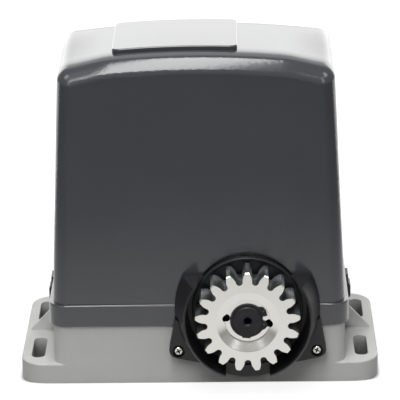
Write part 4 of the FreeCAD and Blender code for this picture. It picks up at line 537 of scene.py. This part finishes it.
@dataclass
class CrossScrew:
    """A pan-head screw with a cross recess, pointing along +Y from its head.

    Attributes:
        centre: The middle of the head's underside, in metres.
        head_mm: Radius and height of the head.
        shank_mm: Radius and length of the shank.
        wing_mm: Reach, width and depth of the recess's wings.
        taper: Size of the recess's floor beside its mouth.
        opening_mm: Radius of the flat that the recess is sunk in.
        tip: The tip's radius beside the shank's, and its length in millimetres.
        lip_mm: Height of the small round under the head's rim.
        dome: Radius and height of the head's profile, as parts of the head's own.
        turn_deg: How far the recess is turned about the screw.
        steps: Facets round the head.
    """

    centre: Vector
    head_mm: tuple[float, float] = (3.5, 2.2)
    shank_mm: tuple[float, float] = (1.9, 12.0)
    wing_mm: tuple[float, float, float] = (2.1, 0.85, 1.5)
    taper: float = 0.62
    opening_mm: float = 2.5
    tip: tuple[float, float] = (0.55, 1.2)
    lip_mm: float = 0.15
    dome: tuple[tuple[float, float], ...] = ((1.0, 0.34), (0.965, 0.6), (0.88, 0.82), (0.78, 0.93))
    turn_deg: float = 0.0
    steps: int = 36

    def recess(self, shape: bmesh.types.BMesh, rim: list[bmesh.types.BMEdge], top: float) -> None:
        """Sinks the cross into the head and joins it to the rim.

        Args:
            shape: The screw's geometry, with its top open.
            rim: The edges of that opening.
            top: Height of the head's crown, in metres.
        """
        reach, width, depth = (part * MM for part in self.wing_mm)
        made = bmesh.ops.create_grid(shape, x_segments=3, y_segments=3, size=1.0)["verts"]
        for vert in made:
            for axis in (0, 1):
                side = vert.co[axis]
                vert.co[axis] = math.copysign(reach if abs(side) > 0.5 else width / 2, side)
            vert.co.z = top
        faces = list({face for vert in made for face in vert.link_faces})
        corners = [face for face in faces if all(abs(part) > width / 2 for part in face.calc_center_median()[:2])]
        bmesh.ops.delete(shape, geom=corners, context="FACES")
        cross = [face for face in faces if face.is_valid]
        edges = [edge for face in cross for edge in face.edges if len(edge.link_faces) == 1]
        # The cross has 12 edges, which together get as many corners as the rim has.
        bmesh.ops.subdivide_edges(shape, edges=list(set(edges)), cuts=self.steps // 12 - 1)
        cross = [face for face in shape.faces if abs(face.calc_center_median().z - top) < SAME_LEVEL]
        outline = [
            edge for edge in shape.edges
            if len(edge.link_faces) == 1 and edge not in rim
            and all(abs(vert.co.z - top) < SAME_LEVEL for vert in edge.verts)
        ]
        bmesh.ops.bridge_loops(shape, edges=rim + outline)
        sunk = bmesh.ops.extrude_face_region(shape, geom=cross)
        floor = [part for part in sunk["geom"] if isinstance(part, bmesh.types.BMVert)]
        bmesh.ops.delete(shape, geom=cross, context="FACES")
        for vert in floor:
            vert.co.x *= self.taper
            vert.co.y *= self.taper
            vert.co.z -= depth

    def make(self, name: str) -> bpy.types.Object:
        """Builds the screw.

        Args:
            name: The piece's name.

        Returns:
            The screw in its place.
        """
        head, height = (part * MM for part in self.head_mm)
        shank, length = (part * MM for part in self.shank_mm)
        tip, point = self.tip
        lip = self.lip_mm * MM
        profile = [
            (shank * tip, -length), (shank, -length + point * MM), (shank, 0.0), (head - lip, 0.0), (head, lip),
            *((head * across, height * up) for across, up in self.dome), (self.opening_mm * MM, height),
        ]
        shape = bmesh.new()
        line = [shape.verts.new((radius, 0.0, level)) for radius, level in profile]
        for first, second in zip(line, line[1:]):
            shape.edges.new((first, second))
        bmesh.ops.spin(
            shape, geom=list(shape.verts) + list(shape.edges), cent=(0, 0, 0), axis=(0, 0, 1),
            angle=math.tau, steps=self.steps, use_merge=True, use_duplicate=False,
        )
        bmesh.ops.remove_doubles(shape, verts=shape.verts, dist=WELD)
        ends = [edge for edge in shape.edges if len(edge.link_faces) == 1]
        rim = [edge for edge in ends if edge.verts[0].co.z > 0]
        bmesh.ops.contextual_create(shape, geom=[edge for edge in ends if edge.verts[0].co.z < 0])
        self.recess(shape, rim, height)
        turn = Matrix.Rotation(math.radians(self.turn_deg), 4, "Z")
        lay = Matrix.Rotation(math.radians(90), 4, "X")
        bmesh.ops.transform(shape, matrix=Matrix.Translation(self.centre) @ lay @ turn, verts=shape.verts)
        return show_mesh(name, shape)


@dataclass
class GuardFixings:
    """The two screws that hold the pinion's guard to the case.

    Attributes:
        turns_deg: How far each screw's recess is turned.
        height_mm: Height of the heads.
    """

    turns_deg: tuple[float, float] = (20.0, -24.0)
    height_mm: float = 2.2

    def build(self, finish: bpy.types.Material) -> list[bpy.types.Object]:
        """Makes both screws in place of the plain ones.

        Args:
            finish: The screws' material.

        Returns:
            The two screws.
        """
        low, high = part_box("guard_screws")
        radius = (high.z - low.z) / 2
        height = self.height_mm * MM
        screws = []
        for name, x, turn in zip(
            ("guard_screw_left", "guard_screw_right"), (low.x + radius, high.x - radius), self.turns_deg
        ):
            centre = Vector((x, low.y + height, (low.z + high.z) / 2))
            screw = CrossScrew(centre, head_mm=(radius / MM, height / MM), turn_deg=turn).make(name)
            screw.data.materials.append(finish)
            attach(screw, "housing")
            screws.append(screw)
        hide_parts("guard_screws")
        return screws


@dataclass
class HoodShell:
    """The moulded hood, whose crown falls away softly to the front and the sides.

    Attributes:
        front_mm: Where the fall to the front starts and ends, along Y.
        side_mm: Where the fall to each side starts and ends, out from the middle.
        corner_mm: Where the fall to the sides grows in towards the front corners, along Y.
        rear_mm: Where the rise to the rear edge starts and ends, along Y.
        wall_mm: Between which heights the fall fades into the walls.
        fall_mm: How far the crown falls at the front and at the front corners, and rises at the rear.
        onset: How late the fall to the front sets in, as the power of a curve.
        step_mm: Distance between the cuts that let the crown bend.
        wall_step_mm: Distance between the cuts down the walls.
        lip_mm: Inner and outer radius of the opening's lip, about the pinion's shaft.
        proud_mm: How far the lip stands out of the front wall.
        face_mm: The front wall's Y and Z at its foot, and the Y of the band below it.
        lean: How far the front wall leans back for its height.
        flat_deg: Faces that turn by less than this are one flat face.
        weld_mm: Corners nearer than this are joined after the bending.
    """

    front_mm: tuple[float, float] = (-33.0, -60.0)
    side_mm: tuple[float, float] = (61.0, 99.0)
    corner_mm: tuple[float, float] = (30.0, -50.0)
    rear_mm: tuple[float, float] = (32.0, 50.0)
    wall_mm: tuple[float, float] = (186.0, 238.0)
    fall_mm: tuple[float, float, float] = (4.8, 3.2, 1.8)
    onset: float = 2.6
    step_mm: float = 1.5
    wall_step_mm: float = 4.5
    lip_mm: tuple[float, float] = (40.0, 46.0)
    proud_mm: float = 0.3
    face_mm: tuple[float, float, float] = (-68.5, 61.0, -71.1)
    lean: float = 0.0544
    flat_deg: float = 0.15
    weld_mm: float = 0.02

    def share(self, place: float, ends: tuple[float, float]) -> float:
        """Returns how far a place in metres is from one end to the other, from 0 to 1."""
        return min(1.0, max(0.0, (place / MM - ends[0]) / (ends[1] - ends[0])))

    def ease(self, place: float, ends: tuple[float, float]) -> float:
        """Returns a smooth step from 0 to 1 between two ends in millimetres."""
        part = self.share(place, ends)
        return part * part * (3.0 - 2.0 * part)

    def cuts(self, start: float, end: float, step: float) -> list[float]:
        """Returns evenly spaced places from start up to end, in millimetres."""
        return [start + step * count for count in range(int(abs(end - start) / abs(step)) + 1)]

    def slice(self, shape: bmesh.types.BMesh) -> None:
        """Cuts the crown into strips, so that it can bend.

        Args:
            shape: The hood's geometry, which keeps its form.
        """
        low = self.wall_mm[0]
        planes = [(2, place) for place in self.cuts(*self.wall_mm, self.wall_step_mm)]
        planes += [(1, place) for place in self.cuts(self.rear_mm[1], self.front_mm[1], -self.step_mm)]
        planes += [(0, place * sign) for place in self.cuts(*self.side_mm, self.step_mm) for sign in (1, -1)]
        for axis, place in planes:
            crown = [face for face in shape.faces if max(vert.co.z for vert in face.verts) > (low - 1.0) * MM]
            parts = list({part for face in crown for part in (*face.verts, *face.edges)}) + crown
            point = Vector((0.0, 0.0, 0.0))
            point[axis] = place * MM
            bmesh.ops.bisect_plane(
                shape, geom=parts, dist=SAME_LEVEL, plane_co=point,
                plane_no=[float(axis == other) for other in range(3)],
            )

    def soften(self, shape: bmesh.types.BMesh) -> None:
        """Lowers the crown towards its edges and sinks the opening's lip.

        Args:
            shape: The hood's geometry.
        """
        shaft_x, _, shaft_z = (part * MM for part in SHAFT_CENTRE_MM)
        inner, outer = (part * MM for part in self.lip_mm)
        foot_y, foot_z, band = (part * MM for part in self.face_mm)
        to_front, to_corner, to_rear = self.fall_mm
        for vert in shape.verts:
            x, y, z = vert.co
            front = self.share(y, self.front_mm) ** self.onset
            corner = self.ease(abs(x), self.side_mm) * self.ease(y, self.corner_mm)
            rear = self.ease(y, self.rear_mm)
            fall = front * to_front + corner * to_corner - rear * to_rear
            vert.co.z -= fall * MM * self.ease(z, self.wall_mm)
            if inner < math.hypot(x - shaft_x, z - shaft_z) < outer:
                wall = foot_y + (z - foot_z) * self.lean if z > foot_z else band
                vert.co.y = max(y, wall - self.proud_mm * MM)

    def build(self, finish: bpy.types.Material) -> bpy.types.Object:
        """Makes the hood from the plain one, with its crown softened.

        Args:
            finish: The hood's material.

        Returns:
            The hood.
        """
        shape = bmesh.new()
        shape.from_mesh(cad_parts["cover"].data)
        bmesh.ops.remove_doubles(shape, verts=shape.verts, dist=WELD)
        bmesh.ops.dissolve_limit(
            shape, angle_limit=math.radians(self.flat_deg), verts=shape.verts, edges=shape.edges,
            use_dissolve_boundaries=False,
        )
        self.slice(shape)
        self.soften(shape)
        bmesh.ops.remove_doubles(shape, verts=shape.verts, dist=self.weld_mm * MM)
        hood = show_mesh("hood_shell", shape)
        # Large flat faces set the shading, so that the walls stay flat up to their rounded edges.
        shading = hood.modifiers.new("flat walls", "WEIGHTED_NORMAL")
        shading.mode = "FACE_AREA"
        shading.weight = 100
        shading.keep_sharp = True
        hood.data.materials.append(finish)
        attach(hood, "housing")
        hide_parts("cover")
        return hood


@dataclass(frozen=True)
class Softbox:
    """One soft light that faces the motor.

    Attributes:
        name: The light's name.
        place: Where it hangs, in metres.
        size: Its width and height, in metres.
        level: Its brightness, where 1 is white.
    """

    name: str
    place: tuple[float, float, float]
    size: tuple[float, float]
    level: float

    def hang(self, target: Vector) -> None:
        """Hangs the light in the scene.

        Args:
            target: The point that it faces.
        """
        data = bpy.data.lights.new(self.name, "AREA")
        data.shape = "RECTANGLE"
        data.size, data.size_y = self.size
        data.energy = self.level * math.pi * self.size[0] * self.size[1]
        lamp = bpy.data.objects.new(self.name, data)
        lamp.visible_camera = False
        heading = (target - Vector(self.place)).to_track_quat("-Z", "Y")
        lamp.matrix_world = Matrix.Translation(self.place) @ heading.to_matrix().to_4x4()
        bpy.context.scene.collection.objects.link(lamp)


@dataclass(frozen=True)
class Ramp:
    """A brightness that changes smoothly from one place to another.

    Attributes:
        start: Where the change starts.
        end: Where it ends.
        low: The brightness at its start.
        high: The brightness at its end.
    """

    start: float
    end: float
    low: float
    high: float

    def add(self, tree: bpy.types.NodeTree, place: bpy.types.NodeSocket) -> bpy.types.NodeSocket:
        """Adds the ramp to a material or the world.

        Args:
            tree: The node tree.
            place: The value that runs from start to end.

        Returns:
            The brightness.
        """
        return add_node(
            tree, "MapRange",
            {"Value": place, "From Min": self.start, "From Max": self.end, "To Min": self.low, "To Max": self.high},
            interpolation_type="SMOOTHSTEP",
        ).outputs["Result"]


@dataclass
class Studio:
    """The camera, the floor and the soft lights.

    Attributes:
        camera_mm: Where the camera stands.
        pitch_deg: How far it looks down.
        yaw_deg: How far it turns to the right.
        roll_deg: How far it leans.
        lens_mm: Its focal length on its sensor.
        sensor_mm: The sensor's width.
        target: The point that the lights face, in metres.
        floor_m: Half the floor's width.
        floor_drop_mm: Gap under the base, so that the two don't share a plane.
        rounding: How far the painted shadow's outline is rounded at the base's corners, as a part of its half width.
        near: What gloss sees of the floor, by distance from the motor in metres.
        behind: What gloss sees of the floor, by distance behind the motor in metres.
        outside: What the camera sees of the floor, by place beside the base, whose edge is 1: a painted shadow under
            the base that fades out just past its edge.
        distant: What the camera sees besides, by distance from the motor in metres.
        sky: What gloss sees of the surroundings, from the front (-1) to the rear (1).
        sky_level: What the surroundings give as light.
        softboxes: The lights.
    """

    camera_mm: tuple[float, float, float] = (26.95, -1767.08, 736.01)
    pitch_deg: float = 19.28
    yaw_deg: float = -0.84
    roll_deg: float = -0.81
    lens_mm: float = 225.2
    sensor_mm: float = 36.0
    target: Vector = field(default_factory=lambda: Vector((0.0, 0.0, 0.12)))
    floor_m: float = 6.0
    floor_drop_mm: float = 0.2
    rounding: float = 0.27
    near: Ramp = Ramp(0.2, 0.75, 0.62, 0.06)
    behind: Ramp = Ramp(0.05, 0.4, 0.0, 1.25)
    # Painted shadow: the floor is dark under the base and brightens just past its edge.
    outside: Ramp = Ramp(0.985, 1.02, 0.0, 0.88)
    distant: Ramp = Ramp(0.16, 0.5, 0.0, 0.3)
    sky: Ramp = Ramp(0.4, 0.72, 0.3, 0.62)
    sky_level: float = 0.16
    softboxes: tuple[Softbox, ...] = (
        Softbox("front softbox", (-0.1, -0.68, 1.57), (0.5, 2.1), 6.6),
        Softbox("left softbox", (-0.62, -1.18, 0.82), (0.34, 0.7), 1.6),
        Softbox("right softbox", (0.62, -1.18, 0.82), (0.34, 0.7), 1.6),
        Softbox("back softbox", (0.0, 1.7, 0.62), (3.2, 0.95), 1.2),
        Softbox("high left softbox", (-0.9, -0.56, 1.3), (0.5, 0.5), 2.6),
        Softbox("high right softbox", (0.9, -0.56, 1.3), (0.5, 0.5), 2.6),
    )

    def add_camera(self) -> None:
        """Stands the camera in its place and makes it the scene's."""
        pitch, yaw, roll = (math.radians(part) for part in (self.pitch_deg, self.yaw_deg, self.roll_deg))
        forward = Vector((math.sin(yaw) * math.cos(pitch), math.cos(yaw) * math.cos(pitch), -math.sin(pitch)))
        level = Vector((math.cos(yaw), -math.sin(yaw), 0.0))
        upright = level.cross(forward)
        right = level * math.cos(roll) + upright * math.sin(roll)
        above = upright * math.cos(roll) - level * math.sin(roll)
        data = bpy.data.cameras.new("camera")
        data.lens = self.lens_mm
        data.sensor_width = self.sensor_mm
        data.clip_start, data.clip_end = 0.05, 20.0
        camera = bpy.data.objects.new("camera", data)
        turn = Matrix((right, above, -forward)).transposed().to_4x4()
        camera.matrix_world = Matrix.Translation(Vector(self.camera_mm) * MM) @ turn
        bpy.context.scene.collection.objects.link(camera)
        bpy.context.scene.camera = camera

    def footprint(self) -> tuple[float, float, float]:
        """Returns half the base's width and depth, and 1 for its height."""
        low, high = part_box("base_casting")
        return (high.x - low.x) / 2, (high.y - low.y) / 2, 1.0

    def edge(self, tree: bpy.types.NodeTree, place: bpy.types.NodeSocket) -> bpy.types.NodeSocket:
        """Adds the nodes that say how far outside the base's outline a place is.

        Args:
            tree: The floor's node tree.
            place: Object coordinates.

        Returns:
            The place, where 1 is the outline.
        """
        flat = add_node(tree, "VectorMath", {"Vector": place, "Vector_001": self.footprint()}, operation="DIVIDE")
        folded = add_node(tree, "VectorMath", {"Vector": flat.outputs["Vector"]}, operation="ABSOLUTE")
        sides = add_node(tree, "SeparateXYZ", {"Vector": folded.outputs["Vector"]}).outputs
        return add_node(
            tree, "Math", {"Value": sides["X"], "Value_001": sides["Y"], "Value_002": self.rounding},
            operation="SMOOTH_MAX",
        ).outputs["Value"]

    def mirrored(
        self, tree: bpy.types.NodeTree, place: bpy.types.NodeSocket, far: bpy.types.NodeSocket
    ) -> bpy.types.NodeSocket:
        """Adds what gloss sees of the floor.

        Args:
            tree: The floor's node tree.
            place: Object coordinates.
            far: Distance from the motor.

        Returns:
            The brightness.
        """
        depth = add_node(tree, "SeparateXYZ", {"Vector": place}).outputs["Y"]
        return add_node(
            tree, "Math", {"Value": self.near.add(tree, far), "Value_001": self.behind.add(tree, depth)},
            operation="MAXIMUM",
        ).outputs["Value"]

    def paint_floor(self) -> bpy.types.Material:
        """Builds the floor's matt paint, which takes shadows and looks white round the motor, with a painted shadow
        under the base and at its edge.

        Returns:
            The finished material.
        """
        material = bpy.data.materials.new("white studio floor")
        material.use_nodes = True
        tree = material.node_tree
        tree.nodes.clear()
        rays = add_node(tree, "LightPath").outputs
        place = add_node(tree, "TexCoord").outputs["Object"]
        far = add_node(tree, "VectorMath", {"Vector": place}, operation="LENGTH").outputs["Value"]
        glossy = add_node(
            tree, "Math", {"Value": self.mirrored(tree, place, far), "Value_001": rays["Is Glossy Ray"]},
            operation="MULTIPLY",
        ).outputs["Value"]
        # The camera sees a painted shadow under the base and at its edge, and white further out.
        white = add_node(
            tree, "Math",
            {"Value": self.outside.add(tree, self.edge(tree, place)), "Value_001": self.distant.add(tree, far)},
            operation="ADD",
        ).outputs["Value"]
        seen = add_node(
            tree, "Math", {"Value": rays["Is Camera Ray"], "Value_001": white, "Value_002": glossy},
            operation="MULTIPLY_ADD",
        ).outputs["Value"]
        paint = add_node(tree, "BsdfDiffuse", {"Color": linear("#7c7c7c")})
        glow = add_node(tree, "Emission", {"Strength": seen})
        both = add_node(tree, "AddShader", {"Shader": paint.outputs["BSDF"], "Shader_001": glow.outputs["Emission"]})
        add_node(tree, "OutputMaterial", {"Surface": both.outputs["Shader"]})
        return material

    def add_floor(self) -> None:
        """Lays the pale floor, which keeps the motor's shadow."""
        shape = bmesh.new()
        bmesh.ops.create_grid(shape, x_segments=8, y_segments=8, size=self.floor_m)
        bmesh.ops.translate(shape, verts=shape.verts, vec=(0.0, 0.0, -self.floor_drop_mm * MM))
        floor = show_mesh("floor", shape)
        floor.data.materials.append(self.paint_floor())

    def add_world(self) -> None:
        """Sets the white surroundings, dimmer for the light that they give."""
        world = bpy.data.worlds.new("studio")
        world.use_nodes = True
        tree = world.node_tree
        tree.nodes.clear()
        rays = add_node(tree, "LightPath").outputs
        white = add_node(
            tree, "Math", {"Value": rays["Is Camera Ray"], "Value_001": rays["Is Transmission Ray"]},
            operation="ADD", use_clamp=True,
        ).outputs["Value"]
        level = add_node(
            tree, "MapRange", {"Value": white, "To Min": self.sky_level, "To Max": 1.0}
        ).outputs["Result"]
        way = add_node(tree, "TexCoord").outputs["Generated"]
        rearwards = add_node(tree, "SeparateXYZ", {"Vector": way}).outputs["Y"]
        gloss = add_node(
            tree, "Math",
            {"Value": rays["Is Glossy Ray"], "Value_001": self.sky.add(tree, rearwards), "Value_002": level},
            operation="MULTIPLY_ADD",
        ).outputs["Value"]
        sky = add_node(tree, "Background", {"Strength": gloss})
        add_node(tree, "OutputWorld", {"Surface": sky.outputs["Background"]})
        bpy.context.scene.world = world

    def build(self) -> None:
        """Puts the studio round the motor."""
        self.add_camera()
        self.add_floor()
        self.add_world()
        for softbox in self.softboxes:
            softbox.hang(self.target)
        bpy.context.scene.view_settings.view_transform = "Standard"


def dress_nodes(materials: dict[str, bpy.types.Material]) -> None:
    """Gives each CAD node the finish that its material slot names.

    Args:
        materials: The finishes' materials, by slot.
    """
    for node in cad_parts.values():
        for holder in node.material_slots:
            slot = holder.material.name.split(".")[0]
            if slot in materials:
                holder.material = materials[slot]
            else:
                LOG.warning("no finish for %s on %s", slot, node.name)


def main() -> None:
    """Builds and dresses the motor, piece by piece."""
    logging.basicConfig(level=logging.INFO, format="%(message)s")
    Studio().build()
    materials = {slot: finish.make() for slot, finish in FINISHES.items()}
    dress_nodes(materials)
    pieces = [
        HoodShell().build(materials["hood_plastic"]),
        *GuardFixings().build(materials["plated_screw"]),
    ]
    for piece in pieces:
        LOG.info("%s: %d faces", piece.name, len(piece.data.polygons))


if __name__ == "__main__":
    main()
